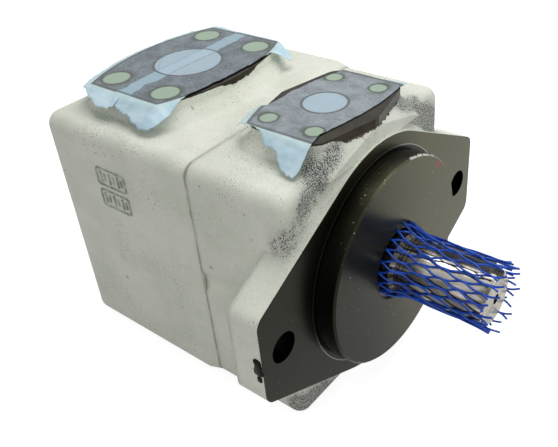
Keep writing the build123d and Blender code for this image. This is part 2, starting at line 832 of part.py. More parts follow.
# ---------------------------------------------------------------- housing screws
head_seat_x = rear_x + spotface_depth
with BuildPart() as body_bolts:
    extrude(
        spots(head_seat_x, bolt_places, bolt_d / 2), amount=joint_x + bolt_engagement - head_seat_x
    )
    extrude(spots(head_seat_x, bolt_places, bolt_head_d / 2), amount=-bolt_head_height)
    chamfer(body_bolts.faces().sort_by(Axis.X).filter_by(Axis.X)[:4].edges(), 1)
    with BuildSketch(Plane.YZ.offset(head_seat_x - bolt_head_height)):
        with Locations(*bolt_places):
            RegularPolygon(bolt_socket / 2, 6, major_radius=False)
    extrude(amount=bolt_socket_depth, mode=Mode.SUBTRACT)
body_bolts.part.label = "body_bolts"


# ---------------------------------------------------------------- shipping covers
def tape(face_z, half, start_x, end_x, flaps):
    """A strip of tape over a port face with a flap hanging at each side, as (out, down)."""
    base = face_z + sheet_gap
    with BuildPart() as strip:
        with BuildSketch(Plane.YZ.offset(start_x)):
            with BuildLine() as path:
                left, right = flaps
                Polyline(
                    (-half - left[0], base - left[1]),
                    (-half, base),
                    (half, base),
                    (half + right[0], base - right[1]),
                )
                offset(path.edges(), amount=tape_thickness, side=Side.LEFT)
            make_face()
        extrude(amount=end_x - start_x)
    return strip.part


with BuildPart() as suction_tape:
    rear, front = suction_x - suction_tape_rear, suction_x + suction_tape_front
    add(tape(suction_face_z, suction_pad_half, rear, front, suction_flaps))
suction_tape.part.label = "suction_tape"

with BuildPart() as discharge_tape:
    rear, front = discharge_x - discharge_tape_rear, discharge_x + discharge_tape_front
    add(tape(discharge_face_z, discharge_pad_half, rear, front, discharge_flaps))
discharge_tape.part.label = "discharge_tape"

with BuildPart() as shaft_net:
    # a sleeve stretched over the shaft and its key
    with BuildSketch(ray_plane(net_start_x, key_angle)):
        key_top = keyway_floor + key_height
        for rim, mode in ((sheet_gap + net_wall, Mode.ADD), (sheet_gap, Mode.SUBTRACT)):
            Circle(shaft_r + rim, mode=mode)
            with Locations(((key_top + rim) / 2, 0)):
                Rectangle(key_top + rim, key_width + 2 * rim, mode=mode)
    extrude(amount=net_end_x - net_start_x)
shaft_net.part.label = "shaft_net"

# ---------------------------------------------------------------- export
pieces = [
    front_body.part,
    rear_body.part,
    drive_shaft.part,
    shaft_key.part,
    bearing_outer_race.part,
    bearing_inner_race.part,
    bearing_balls.part,
    bearing_cage.part,
    bearing_retaining_ring.part,
    shaft_circlip.part,
    seal_case.part,
    seal_lip.part,
    cam_ring.part,
    rotor.part,
    *vanes,
    front_side_plate.part,
    rear_side_plate.part,
    dowel_pins.part,
    cartridge_screws.part,
    rear_bush.part,
    joint_seal.part,
    plate_seal.part,
    body_bolts.part,
    suction_tape.part,
    discharge_tape.part,
    shaft_net.part,
]
for piece in pieces:
    export_step(piece, f"parts/{piece.label}.step")
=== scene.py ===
# %% [markdown]
# # A flange-mounted vane pump
#
# This lesson dresses a hydraulic pump for a parts catalogue. The castings, the shaft
# and the cartridge inside come from the CAD frame and only need finishes. What is soft
# or stringy is made here: the tape over the two port faces and the plastic netting
# that protects the shaft.

# %% Load the frame
import json
import math

import bmesh
import bpy
from mathutils import Matrix, Vector, noise


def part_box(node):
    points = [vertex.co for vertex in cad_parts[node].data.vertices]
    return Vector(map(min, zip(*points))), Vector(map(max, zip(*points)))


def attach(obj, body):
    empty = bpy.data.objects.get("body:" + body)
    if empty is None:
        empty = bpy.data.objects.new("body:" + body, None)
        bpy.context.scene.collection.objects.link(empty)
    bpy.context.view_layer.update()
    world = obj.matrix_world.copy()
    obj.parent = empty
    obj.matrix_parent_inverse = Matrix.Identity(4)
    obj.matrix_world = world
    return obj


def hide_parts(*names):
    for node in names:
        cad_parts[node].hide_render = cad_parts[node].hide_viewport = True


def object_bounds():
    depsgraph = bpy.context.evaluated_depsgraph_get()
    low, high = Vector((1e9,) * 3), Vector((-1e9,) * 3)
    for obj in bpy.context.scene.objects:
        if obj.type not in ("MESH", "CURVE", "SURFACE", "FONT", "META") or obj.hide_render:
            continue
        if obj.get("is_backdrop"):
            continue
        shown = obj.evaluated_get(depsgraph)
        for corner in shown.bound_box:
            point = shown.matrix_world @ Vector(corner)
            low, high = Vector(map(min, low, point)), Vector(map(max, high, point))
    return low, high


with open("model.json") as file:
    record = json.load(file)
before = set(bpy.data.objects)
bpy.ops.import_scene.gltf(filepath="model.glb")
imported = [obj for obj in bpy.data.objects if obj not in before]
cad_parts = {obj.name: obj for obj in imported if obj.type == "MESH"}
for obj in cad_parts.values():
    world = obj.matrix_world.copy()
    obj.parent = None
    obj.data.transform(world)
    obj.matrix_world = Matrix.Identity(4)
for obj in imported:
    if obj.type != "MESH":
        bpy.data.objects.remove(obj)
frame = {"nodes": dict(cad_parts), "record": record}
cad_box = [list(corner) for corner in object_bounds()]

# %% [markdown]
# Every size that a finish or a piece depends on is read from the frame, so the dressing
# still fits when the pump changes. The shaft points along X, and Z is up. The origin is
# the middle of the pilot, the round spigot that centres the pump, in the flange's face.

# %% Sizes of the castings and the shaft
mm = 0.001
front_low, front_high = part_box("front_body")
rear_low, rear_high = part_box("rear_body")
floor_z = min(front_low.z, rear_low.z)
joint_x = front_low.x
pilot_length = front_high.x
suction_face, discharge_face = rear_high.z, front_high.z
shaft_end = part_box("drive_shaft")[1].x
print("port faces", round(discharge_face, 4), round(suction_face, 4), "joint", round(joint_x, 4))

# %% [markdown]
# The pump bolts on by two holes in its flange, and a pipe flange screws onto each port.
# The frame's record states these mounts with their places and radii, so they are looked
# up by name. Only the pitches of the screw holes are written here.

# %% Places and sizes of the holes
mounts = {entry["name"]: entry for entry in frame["record"]["mounts"]}


def mount_radius(name):
    """The radius that the frame states for a mount, in metres."""
    return mounts[name]["dims"]["r_mm"] * mm


suction_x, discharge_x = (mounts[name]["pos_m"][0] for name in ("suction_port", "discharge_port"))
suction_bore, discharge_bore = mount_radius("suction_port"), mount_radius("discharge_port")
shaft_radius, pilot_radius = mount_radius("shaft_end"), mount_radius("pilot")
suction_pitch, discharge_pitch = (0.0429, 0.0778), (0.0302, 0.0587)
flange_hole_y = 0.0905
print("bores", round(suction_bore, 4), round(discharge_bore, 4), "shaft radius", shaft_radius)

# %% [markdown]
# The camera looks down on the pump from its drive end. A view is set by two angles, a
# small roll and a place, which is easier to judge than a rotation matrix. The shift
# slides the frame without turning the camera, as a view camera does. The Standard view
# transform shows a colour as it is written, so white paper stays white.

# %% Camera
azimuth, elevation, roll = (math.radians(angle) for angle in (40.72, 34.286, -4.848))
camera_place = Vector((0.1812, -0.2769, 0.2583))
level = Vector((math.cos(azimuth), math.sin(azimuth), 0.0))
ahead = Vector((math.sin(azimuth), -math.cos(azimuth), 0.0))
backward = math.cos(elevation) * ahead + Vector((0.0, 0.0, math.sin(elevation)))
upright = backward.cross(level)
right = math.cos(roll) * level + math.sin(roll) * upright
up = -math.sin(roll) * level + math.cos(roll) * upright
camera_data = bpy.data.cameras.new("camera")
camera_data.lens, camera_data.sensor_width = 46.14, 36.0
camera_data.shift_x, camera_data.shift_y = -0.0444, -0.0217
camera_data.clip_start = 0.01
camera = bpy.data.objects.new("camera", camera_data)
turn = Matrix((right, up, backward)).transposed().to_4x4()
camera.matrix_world = Matrix.Translation(camera_place) @ turn
bpy.context.scene.collection.objects.link(camera)
bpy.context.scene.camera = camera
bpy.context.scene.view_settings.view_transform = "Standard"
print("camera at", [round(v, 3) for v in camera_place], "lens", camera_data.lens)

# %% [markdown]
# A finish is a tree of nodes. Built by hand in the editor, a large tree is hard to
# follow, so it is written as code. Two helpers do most of the work: one fills in a
# socket, by a link or by a plain value, and the other makes a node with all its inputs.


# %% Nodes and links
def plug(socket, value):
    """Links a socket to a field or an output, or sets it to a plain value."""
    source = getattr(value, "output", value)
    if isinstance(source, bpy.types.NodeSocket):
        socket.id_data.links.new(source, socket)
    else:
        socket.default_value = source


def node(tree, kind, inputs=None, **settings):
    """A node with its settings and its inputs filled in."""
    made = tree.nodes.new(kind)
    for name, value in settings.items():
        setattr(made, name, value)
    for name, value in (inputs or {}).items():
        plug(made.inputs[name], value)
    return made


# %% [markdown]
# A mask is arithmetic: this band times that height, or the larger of two spots. A Field
# stands for a value that varies over the surface, and each sign between two fields adds
# one Math node. The finishes below can then be read as formulas.


# %% Fields
class Field:
    """A value that varies over a surface; arithmetic on it adds Math nodes."""

    def __init__(self, output):
        self.output = output
        self.tree = output.id_data

    def math(self, operation, *others):
        """One Math node on this field and the others."""
        made = node(self.tree, "ShaderNodeMath", operation=operation)
        for socket, value in zip(made.inputs, (self, *others)):
            plug(socket, value)
        return Field(made.outputs[0])

    def __add__(self, other):
        return self.math("ADD", other)

    def __sub__(self, other):
        return self.math("SUBTRACT", other)

    def __rsub__(self, other):
        return self * -1.0 + other

    def __mul__(self, other):
        return self.math("MULTIPLY", other)

    def __truediv__(self, other):
        return self.math("DIVIDE", other)

    def __abs__(self):
        return self.math("ABSOLUTE")


def fields(sockets):
    """The named outputs of a node as a table of fields."""
    return {socket.name: Field(socket) for socket in sockets if socket.name}


# %% [markdown]
# Masks are joined by taking the larger one and are kept in range by clamping. Every
# round thing is drawn by its distance from a point or an axis.


# %% Joining masks
def larger(first, *others):
    """The largest of several masks, which joins them."""
    for other in others:
        first = first.math("MAXIMUM", other)
    return first


def clamped(field):
    """The field held between 0 and 1."""
    return field.math("MAXIMUM", 0.0).math("MINIMUM", 1.0)


def distance(u, v):
    """Length of a flat vector."""
    return (u * u + v * v).math("SQRT")


# %% [markdown]
# Nearly all the edges and patterns of a finish come from three ideas: a smooth step, a
# band between two steps, and grain, which is noise at a chosen scale. A mapping node
# stretches the grain for brushed or creased surfaces.


# %% Steps, bands and grain
def step(value, low, high, out_low=0.0, out_high=1.0):
    """A smooth rise from out_low to out_high as the value goes from low to high."""
    limits = {"From Min": low, "From Max": high, "To Min": out_low, "To Max": out_high}
    inputs = {"Value": value, **limits}
    made = node(value.tree, "ShaderNodeMapRange", inputs, interpolation_type="SMOOTHSTEP")
    return Field(made.outputs["Result"])


def between(value, low, high, soft):
    """One inside a range, falling to nothing over a soft edge."""
    return step(value, low - soft, low + soft) * step(value, high + soft, high - soft)


def grain(place, scale, detail=3.0, roughness=0.55):
    """Noise over the piece."""
    inputs = {"Vector": place, "Scale": scale, "Detail": detail, "Roughness": roughness}
    return Field(node(place.tree, "ShaderNodeTexNoise", inputs).outputs["Fac"])


def stretched(place, scale, turned=(0.0, 0.0, 0.0)):
    """The place with its axes scaled and turned, so that a pattern runs one way."""
    inputs = {"Vector": place, "Rotation": turned, "Scale": scale}
    return Field(node(place.tree, "ShaderNodeMapping", inputs).outputs[0])


def axes(place):
    """The x, y and z of a place, as three fields."""
    parted = node(place.tree, "ShaderNodeSeparateXYZ", {0: place})
    return [Field(parted.outputs[axis]) for axis in "XYZ"]


# %% [markdown]
# Colours are written as a paint chart gives them, from 0 to 255, and are turned into
# the linear values that light is computed with. Two colours are mixed by a mask.


# %% Colours
def colour(red, green, blue):
    """A colour given as display values from 0 to 255."""
    parts = [value / 255 for value in (red, green, blue)]
    linear = [p / 12.92 if p <= 0.04045 else ((p + 0.055) / 1.055) ** 2.4 for p in parts]
    return (*linear, 1.0)


def blend(mask, first, second):
    """The first colour where the mask is 0, the second where it is 1."""
    made = node(mask.tree, "ShaderNodeMix", {"Factor": mask}, data_type="RGBA")
    plug(made.inputs[6], first)
    plug(made.inputs[7], second)
    return Field(made.outputs[2])


print("middle grey is", [round(part, 3) for part in colour(128, 128, 128)[:3]])

# %% [markdown]
# The room is an even pale surround. Metal needs something bright to reflect, so the
# room is white to the camera and nearly white in reflections, and dimmer as a source
# of light. Light Path tells these rays apart, so a white backdrop costs no extra light
# on the object.

# %% World
world = bpy.data.worlds.new("studio")
bpy.context.scene.world = world
world.use_nodes = True
sky = world.node_tree
sky.nodes.clear()
paper_white = colour(255, 255, 255)
rays = node(sky, "ShaderNodeLightPath").outputs
seen = larger(Field(rays["Is Camera Ray"]), rays["Is Transmission Ray"])
ambient, mirrored_room, backdrop = (
    node(sky, "ShaderNodeBackground", {"Color": paper_white, "Strength": strength}).outputs[0]
    for strength in (0.375, 0.8, 1.0)
)
lit = node(sky, "ShaderNodeMixShader", {0: rays["Is Glossy Ray"], 1: ambient, 2: mirrored_room})
shown = node(sky, "ShaderNodeMixShader", {0: seen, 1: lit.outputs[0], 2: backdrop})
node(sky, "ShaderNodeOutputWorld", {"Surface": shown.outputs[0]})
print("world nodes", len(sky.nodes))

# %% [markdown]
# One large soft lamp stands overhead and behind, so that the tops are bright and the
# long highlight runs down the shaft. Two weaker ones fill the drive side and the side
# by the camera. Large lamps give soft shadows, as a light tent does.

# %% Lamps
pump_middle = Vector((-0.06, 0.0, 0.0))


def lamp(name, place, size, watts):
    """A square soft lamp aimed at the middle of the pump."""
    data = bpy.data.lights.new(name, "AREA")
    data.size, data.energy = size, watts
    made = bpy.data.objects.new(name, data)
    aim = (pump_middle - Vector(place)).to_track_quat("-Z", "Y")
    made.matrix_world = Matrix.Translation(place) @ aim.to_matrix().to_4x4()
    bpy.context.scene.collection.objects.link(made)


lamp("overhead", (-0.1, 0.35, 1.0), 0.9, 6.9)
lamp("drive_side", (0.9, 0.5, 0.55), 0.7, 3.0)
lamp("camera_side", (0.3, -0.9, 0.35), 0.8, 1.6)

# %% [markdown]
# The floor is matt paper. Lit paper alone turns grey away from the lamps, so it also
# glows a little for the camera. The glow fills it up to white and leaves the shadow
# under the pump. It is weaker in reflections, where it would wash out the dark metal.

# %% Floor
reach = 3.0
corners = [(-reach, -reach), (reach, -reach), (reach, reach), (-reach, reach)]
floor_mesh = bpy.data.meshes.new("floor")
floor_mesh.from_pydata([(x, y, floor_z) for x, y in corners], [], [(0, 1, 2, 3)])
floor = bpy.data.objects.new("floor", floor_mesh)
bpy.context.scene.collection.objects.link(floor)
paper = bpy.data.materials.new("paper_floor")
paper.use_nodes = True
paper_tree = paper.node_tree
paper_tree.nodes.clear()
rays = node(paper_tree, "ShaderNodeLightPath").outputs
seen = larger(Field(rays["Is Camera Ray"]), rays["Is Transmission Ray"])
strength = seen * 0.82 + Field(rays["Is Glossy Ray"]) * 0.45
matt = node(paper_tree, "ShaderNodeBsdfDiffuse", {"Color": (0.5, 0.5, 0.5, 1.0)})
glow = node(paper_tree, "ShaderNodeEmission", {"Color": paper_white, "Strength": strength})
both = node(paper_tree, "ShaderNodeAddShader", {0: matt.outputs[0], 1: glow.outputs[0]})
node(paper_tree, "ShaderNodeOutputMaterial", {"Surface": both.outputs[0]})
floor_mesh.materials.append(paper)
floor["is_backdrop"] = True
print("floor at", round(floor_z, 4))

# %% [markdown]
# Several finishes share two effects: fine specks, as in paint over sand-cast iron, and
# the round spots of a port's holes. Each is a node group with named inputs, built once
# and placed in each material with its own values.


# %% Shared node groups
def group_tree(name, inputs, outputs):
    """A shader group; returns it with its inputs as fields and its output sockets."""
    tree = bpy.data.node_groups.new(name, "ShaderNodeTree")
    for label, value in inputs.items():
        kind = "NodeSocketVector" if value is None else "NodeSocketFloat"
        socket = tree.interface.new_socket(label, in_out="INPUT", socket_type=kind)
        if value is not None:
            socket.default_value = value
    for label in outputs:
        tree.interface.new_socket(label, in_out="OUTPUT", socket_type="NodeSocketFloat")
    given = fields(tree.nodes.new("NodeGroupInput").outputs)
    return tree, given, tree.nodes.new("NodeGroupOutput").inputs


def use_group(group, values):
    """Places a shared group beside its Place input; returns its outputs as fields."""
    made = node(values["Place"].tree, "ShaderNodeGroup", values, node_tree=group)
    return fields(made.outputs)


# %% [markdown]
# Specks are the peaks of a noise. Taking away a level leaves only what stands above it,
# so a lower level gives more specks, and a small divisor gives each a crisp edge.

# %% Specks
specks, given, result = group_tree(
    "specks", {"Place": None, "Scale": 900.0, "Cover": 0.3, "Edge": 0.03}, ["Mask"]
)
above = grain(given["Place"], given["Scale"], 2.0, 0.5) - (1.0 - given["Cover"])
plug(result["Mask"], clamped(above / given["Edge"]))


def specked(place, scale, cover, edge):
    """A mask of specks; a larger cover gives more of them."""
    inputs = {"Place": place, "Scale": scale, "Cover": cover, "Edge": edge}
    return use_group(specks, inputs)["Mask"]


print("group", specks.name, "has", len(specks.nodes), "nodes")

# %% [markdown]
# A port is one bore with four tapped holes round it. Taking the absolute value of x and
# y folds the four holes onto one, so a single distance draws them all.


# %% Port spots
def spot_and_rim(inside):
    """A soft-edged spot and the dark line round it, from the depth inside its edge."""
    return step(inside, -0.0003, 0.0003), 1.0 - step(abs(inside), 0.0003, 0.0012)


port_spots, given, result = group_tree(
    "port_spots",
    {
        "Place": None,
        "Port X": 0.0,
        "Half Pitch X": 0.015,
        "Half Pitch Y": 0.03,
        "Port Radius": 0.013,
        "Screw Radius": 0.006,
    },
    ["Port", "Screws", "Rims", "Halo"],
)
x, y = axes(given["Place"])[:2]
across = x - given["Port X"]
screw_away = distance(abs(across) - given["Half Pitch X"], abs(y) - given["Half Pitch Y"])
port_spot, port_rim = spot_and_rim(given["Port Radius"] - distance(across, y))
screw_spot, screw_rim = spot_and_rim(given["Screw Radius"] - screw_away)
plug(result["Port"], port_spot)
plug(result["Screws"], screw_spot)
plug(result["Rims"], larger(port_rim, screw_rim))
plug(result["Halo"], step(screw_away - given["Screw Radius"], 0.0046, 0.0004))
print("group", port_spots.name, "puts out", [socket.name for socket in result if socket.name])

# %% [markdown]
# The castings and the tapes both ask for these spots, the castings to bare their holes
# and the tapes to show what lies under them, so the call is written once.


# %% Spots of one port
def spots_of_port(place, port_x, pitch, port_radius, screw_radius):
    """The spots of one port, as a table of masks."""
    return use_group(
        port_spots,
        {
            "Place": place,
            "Port X": port_x,
            "Half Pitch X": pitch[0] / 2,
            "Half Pitch Y": pitch[1] / 2,
            "Port Radius": port_radius,
            "Screw Radius": screw_radius,
        },
    )


# %% [markdown]
# Each material starts from an empty tree and the object's own coordinates, and ends in
# one Principled shader. A bump gives it relief. On the castings a Bevel node also
# softens the edges of the paint, because thick paint rounds a corner that the metal
# under it keeps sharp.


# %% Start and end of a material
def new_finish(name):
    """A material with an empty tree, and the place of each point on the piece."""
    material = bpy.data.materials.new(name)
    material.use_nodes = True
    tree = material.node_tree
    tree.nodes.clear()
    return material, Field(node(tree, "ShaderNodeTexCoord").outputs["Object"])


def surface(material, inputs, bump, strength=0.2, depth=0.0003, rounding=None):
    """The Principled shader with a bump and softened edges, joined to the output."""
    tree = material.node_tree
    relief = node(tree, "ShaderNodeBump", {"Height": bump, "Strength": strength, "Distance": depth})
    if rounding is not None:
        softened = node(tree, "ShaderNodeBevel", {"Radius": rounding}, samples=8)
        plug(relief.inputs["Normal"], softened.outputs["Normal"])
    inputs = {**inputs, "Normal": relief.outputs["Normal"]}
    shader = node(tree, "ShaderNodeBsdfPrincipled", inputs)
    node(tree, "ShaderNodeOutputMaterial", {"Surface": shader.outputs[0]})


# %% [markdown]
# The castings are sand-cast iron under cream paint. The paint has a slow drift of tone,
# grit from the sand, a few dings and scratches, and painted shade along the groove of the
# joint between the two castings. Each is a mask that mixes one more colour in.

# %% Cream paint
cream, cream_shade = colour(227, 230, 217), colour(212, 216, 201)
grime_and_joint_shade, speck_dark = colour(120, 122, 108), colour(70, 70, 62)


def cream_paint(place, x, z):
    """Cream paint with grit, dings, scratches and painted shade in the joint's groove."""
    drift = step(grain(place, 26.0, 5.0, 0.6), 0.32, 0.72)
    paint = blend(drift, cream, cream_shade)
    gritty = step(grain(place, 30.0, 2.0), 0.42, 0.66)
    upper = step(z, 0.055, 0.072)
    cover = gritty * 0.07 + 0.305 + upper * 0.03
    paint = blend(specked(place, 1250.0, cover, 0.06) * 0.62, paint, speck_dark)
    paint = blend(specked(place, 190.0, 0.265, 0.03) * 0.6, paint, grime_and_joint_shade)
    strokes = stretched(place, (9.0, 95.0, 60.0), (0.3, 0.2, 0.6))
    scratches = step(grain(strokes, 1.0, 3.0, 0.7), 0.73, 0.76)
    paint = blend(scratches * 0.35, paint, grime_and_joint_shade)
    # painted shade: a dark line along the groove of the joint, broken by noise
    joint_groove_shade = step(abs(x - joint_x), 0.0009, 0.0002)
    broken = step(grain(place, 95.0, 3.0), 0.36, 0.56)
    return blend(joint_groove_shade * (broken * 0.4 + 0.12), paint, grime_and_joint_shade)


print("cream is", [round(part, 2) for part in cream[:3]], "in linear light")

# %% [markdown]
# The cream coat is thin in the coves beside the flange, and the dark coat under it
# shows as dense dots. A cove is found by its X, its height and its distance from the
# shaft's axis. A cloud of large grain then breaks it into patches.


# %% Dark dots in the coves
def dark_dots(place, x, y, z, radius):
    """Where the dark coat shows through behind the flange."""
    high_side = step(z, 0.036, 0.052) * between(radius, 0.0750, 0.0935, 0.0070)
    low_side = step(z, -0.050, -0.066) * step(radius, 0.076, 0.086)
    cove = between(x, -0.0165, -0.0040, 0.0055) * larger(high_side, low_side)
    cove = cove * step(abs(y), 0.016, 0.034)
    cloud = step(grain(stretched(place, (75.0, 42.0, 42.0)), 1.0, 4.0, 0.65), 0.30, 0.60)
    patchy = clamped(cove * (cloud + 0.8))
    dense = specked(place, 1600.0, patchy * 0.36 + 0.20, 0.08)
    return larger(dense * step(patchy, 0.01, 0.2), patchy * 0.30)


# %% [markdown]
# The flange face, the pilot and the port faces were machined after the paint. The
# flange is oily graphite, and a painted reflection makes it lighter toward +Y and darker
# toward its near side; the port faces are browner. Deep places are painted near black
# as painted shade: the pilot's wall, the groove at its foot and every hole.

# %% Machined metal
bare_painted_lit, bare_painted_shaded = colour(87, 85, 64), colour(38, 39, 28)
oiled_brown, oiled_dark = colour(62, 57, 47), colour(44, 40, 34)
shaft_bore = 0.0240


def dark_metal(place, x, y, z, port_face):
    """Graphite on the flange with a painted reflection gradient, brown on the port faces."""
    mottled = grain(place, 35.0, 5.0, 0.6) * 0.03 - 0.015
    # painted reflection: the bare metal is painted lighter toward +Y and upward
    painted_reflection_tone = step(z * 0.25 + y + mottled, -0.045, 0.045)
    # painted shade: the flange face is painted darker on its near side
    near_flange_painted_shade = step(x, 0.001, 0.0) * step(y, 0.05, 0.01)
    metal = blend(painted_reflection_tone * (near_flange_painted_shade * -0.55 + 1.0), bare_painted_shaded, bare_painted_lit)
    brown = blend(step(grain(place, 90.0, 5.0, 0.65), 0.3, 0.7), oiled_brown, oiled_dark)
    return blend(port_face, metal, brown)


def flange_holes(y, z):
    """The two bolt holes of the flange, folded onto one."""
    return step(distance(abs(y) - flange_hole_y, z), 0.0092, 0.0089)


def painted_shade_places(x, y, z, radius, port_face):
    """Painted shade: black on the pilot's wall, less of it high on the -Y side, in the groove at
    its foot, the shaft's bore and the bolt holes.
    """
    wall = between(x, 0.0005, pilot_length - 0.0010, 0.0003) * step(z - y, 0.090, 0.030, 0.45)
    groove = between(radius, pilot_radius - 0.0007, pilot_radius + 0.0023, 0.0002)
    groove = groove * step(x, 0.0005, 0.0)
    bore = step(radius, shaft_bore + 0.0002, shaft_bore - 0.0002)
    return larger(wall, groove, bore, flange_holes(y, z)) * step(port_face, 1.0, 0.0)


print("bolt holes at y", flange_hole_y, "shaft bore", shaft_bore)

# %% [markdown]
# Handling leaves bright nicks. They gather on the pilot's upper rim, which is the first
# to knock against the housing that it fits in. Painted highlights go with them: a thin
# bright line round the pilot's foot and a broken bright arc on its rim. An inspector's
# dab of red paint sits beside them. All are masks limited to a ring round the axis and a
# range of Y and Z.

# %% Nicks, painted highlights and a dab of paint
dab_y, dab_z = 0.0415, 0.0430


def nicks_and_highlights(place, x, y, z, radius):
    """A painted highlight line at the pilot's foot, chips on its rim, a painted highlight arc on
    the rim and lone flakes.
    """
    # painted highlight: a thin bright line round the pilot's foot
    highlight_and_pale_patches = step(abs(radius - (pilot_radius + 0.0025)), 0.0004, 0.0001) * step(x, 0.001, 0.0)
    rim = between(radius, pilot_radius - 0.0030, pilot_radius + 0.0005, 0.0006)
    rim = rim * step(x, 0.002, 0.004)
    upper = between(y, -0.052, 0.040, 0.008) * step(z, 0.02, 0.04)
    chips = specked(place, 900.0, 0.29, 0.03) * rim * upper
    # painted highlight: a broken bright arc on the pilot's upper rim
    painted_rim_highlight = between(radius, pilot_radius - 0.0011, pilot_radius + 0.0001, 0.0002)
    painted_rim_highlight = painted_rim_highlight * between(y, 0.010, 0.036, 0.004) * step(z, 0.03, 0.04) * step(x, 0.0105, 0.0112)
    painted_rim_highlight = painted_rim_highlight * step(grain(place, 260.0, 3.0), 0.44, 0.5)
    return larger(highlight_and_pale_patches * 0.4, chips, painted_rim_highlight, specked(place, 700.0, 0.238, 0.02))


def red_dab(place, x, y, z):
    """A small uneven dab of red on the pilot's face."""
    torn = grain(place, 900.0, 2.0) * 0.006 - 0.003
    away = distance(y - dab_y, z - dab_z) + torn
    return step(away, 0.0030, 0.0018) * step(x, 0.011, 0.0115)


def machined_metal(place, x, y, z, radius, port_face):
    """Dark bare metal with its nicks and painted highlights; returns the colour and the mask of
    painted black shade.
    """
    metal = dark_metal(place, x, y, z, port_face)
    black = painted_shade_places(x, y, z, radius, port_face)
    # painted shade: the deep places are painted near black
    metal = blend(black * 0.92, metal, colour(20, 20, 20))
    metal = blend(nicks_and_highlights(place, x, y, z, radius), metal, colour(214, 212, 204))
    return blend(red_dab(place, x, y, z) * 0.75, metal, colour(150, 50, 48)), black


print("the dab lies", round(math.hypot(dab_y, dab_z), 4), "from the axis, the rim at", pilot_radius)

# %% [markdown]
# One material holds both paint and metal, parted by masks on the object's coordinates,
# so the CAD mesh needs no second slot. The paint stops just below a port's face. In one
# stretch of each port it was scraped back, and its edge is ragged: noise moves the
# height at which it stops.


# %% Casting finish
def casting_material(name, face_z, port, paint_depth, ragged_depth, ragged_x, ragged_y):
    """Cream paint with bare machined faces and holes; face_z is the port face."""
    material, place = new_finish(name)
    x, y, z = axes(place)
    radius = distance(y, z)
    dots = dark_dots(place, x, y, z, radius)
    paint = blend(dots, cream_paint(place, x, z), colour(70, 71, 75))
    ragged = step(x, ragged_x - 0.004, ragged_x + 0.004) * between(y, *ragged_y, 0.006)
    tear = (grain(place, 420.0, 4.0, 0.7) * 0.005 - 0.0025) * (ragged * 0.8 + 0.2)
    paint_top = face_z - (ragged * ragged_depth + paint_depth) + tear
    drilled = spots_of_port(place, *port)
    in_port = larger(drilled["Port"], drilled["Screws"]) * step(z, 0.040, 0.045)
    port_bare = larger(step(z - paint_top, -0.00015, 0.00015), in_port)
    flange_bare = step(x, -0.0007, -0.0004)
    bare = larger(port_bare, flange_bare, flange_holes(y, z) * step(x, -0.03, -0.028))
    port_face = clamped(port_bare - flange_bare)
    metal, black = machined_metal(place, x, y, z, radius, port_face)
    peel = grain(place, 230.0, 4.0, 0.6) + grain(place, 1000.0, 2.0)
    surface(
        material,
        {
            "Base Color": blend(bare, paint, metal),
            "Roughness": bare * -0.2 + 0.5 + (grain(place, 300.0) * 0.14 - 0.07),
            "Metallic": bare * (black * 0.05 + 0.93),
        },
        bump=peel * (bare * -0.9 + 1.0),
        strength=0.6,
        depth=0.0006,
        rounding=step(x, -0.0012, -0.0040, 0.0, 0.0060) * (1.0 - bare),
    )
    return material


# %% [markdown]
# The masks of the holes are drawn a little larger than the holes, because the paint
# breaks away at a drilled edge. Front and rear differ only in their port and in where
# the paint was scraped back.


# %% Finish the castings
def finish(name, material):
    """Gives a CAD node its finish."""
    materials = frame["nodes"][name].data.materials
    materials.clear()
    materials.append(material)
    print(name, "wears", material.name)


paint_past_hole = 0.0006
front_port = (discharge_x, discharge_pitch, discharge_bore + paint_past_hole, 0.0058)
rear_port = (suction_x, suction_pitch, suction_bore + paint_past_hole, 0.0068)
front_scrape = (0.0012, 0.0042, -0.026, (-0.026, 0.036))
rear_scrape = (0.0008, 0.0026, -0.114, (-0.010, 0.016))
finish("front_body", casting_material("front_casting", discharge_face, front_port, *front_scrape))
finish("rear_body", casting_material("rear_casting", suction_face, rear_port, *rear_scrape))

# %% [markdown]
# The shaft has dark streaks along its axis, which are painted reflections in the polished
# steel. The journal that the seal runs on is darker, two dark rings stand beside it, and
# the sawn end face is pale. All of these follow X, the shaft's axis, so each is a step or
# a thin band of it.


# %% Marks on the shaft
def shaft_marks(place, base, patches, end_tone):
    """Painted reflection streaks, the dark journal with its two rings, and the pale end face."""
    x = axes(place)[0]
    # painted reflection: dark streaks along the shaft
    painted_reflection_streaks = step(grain(stretched(place, (22.0, 130.0, 130.0)), 1.0, 3.0), 0.43, 0.54)
    base = blend(painted_reflection_streaks * 0.8, base, colour(84, 80, 72))
    journal = step(x, 0.0182, 0.0176)
    base = blend(journal * 0.75, base, colour(70, 69, 64))
    for ring_x in (0.0200, 0.0225):
        base = blend(step(abs(x - ring_x), 0.0005, 0.0002) * 0.8, base, colour(40, 39, 36))
    face = step(x, shaft_end - 0.0004, shaft_end - 0.0001)
    return blend(face, base, blend(patches, end_tone, colour(168, 164, 146))), face


# %% [markdown]
# The steel itself is ground, with faint turning lines. The lines are noise that changes
# along the axis and hardly changes round it. The recipe takes its colours, gloss and
# line spacing as values, because every steel part of the pump can then share it.


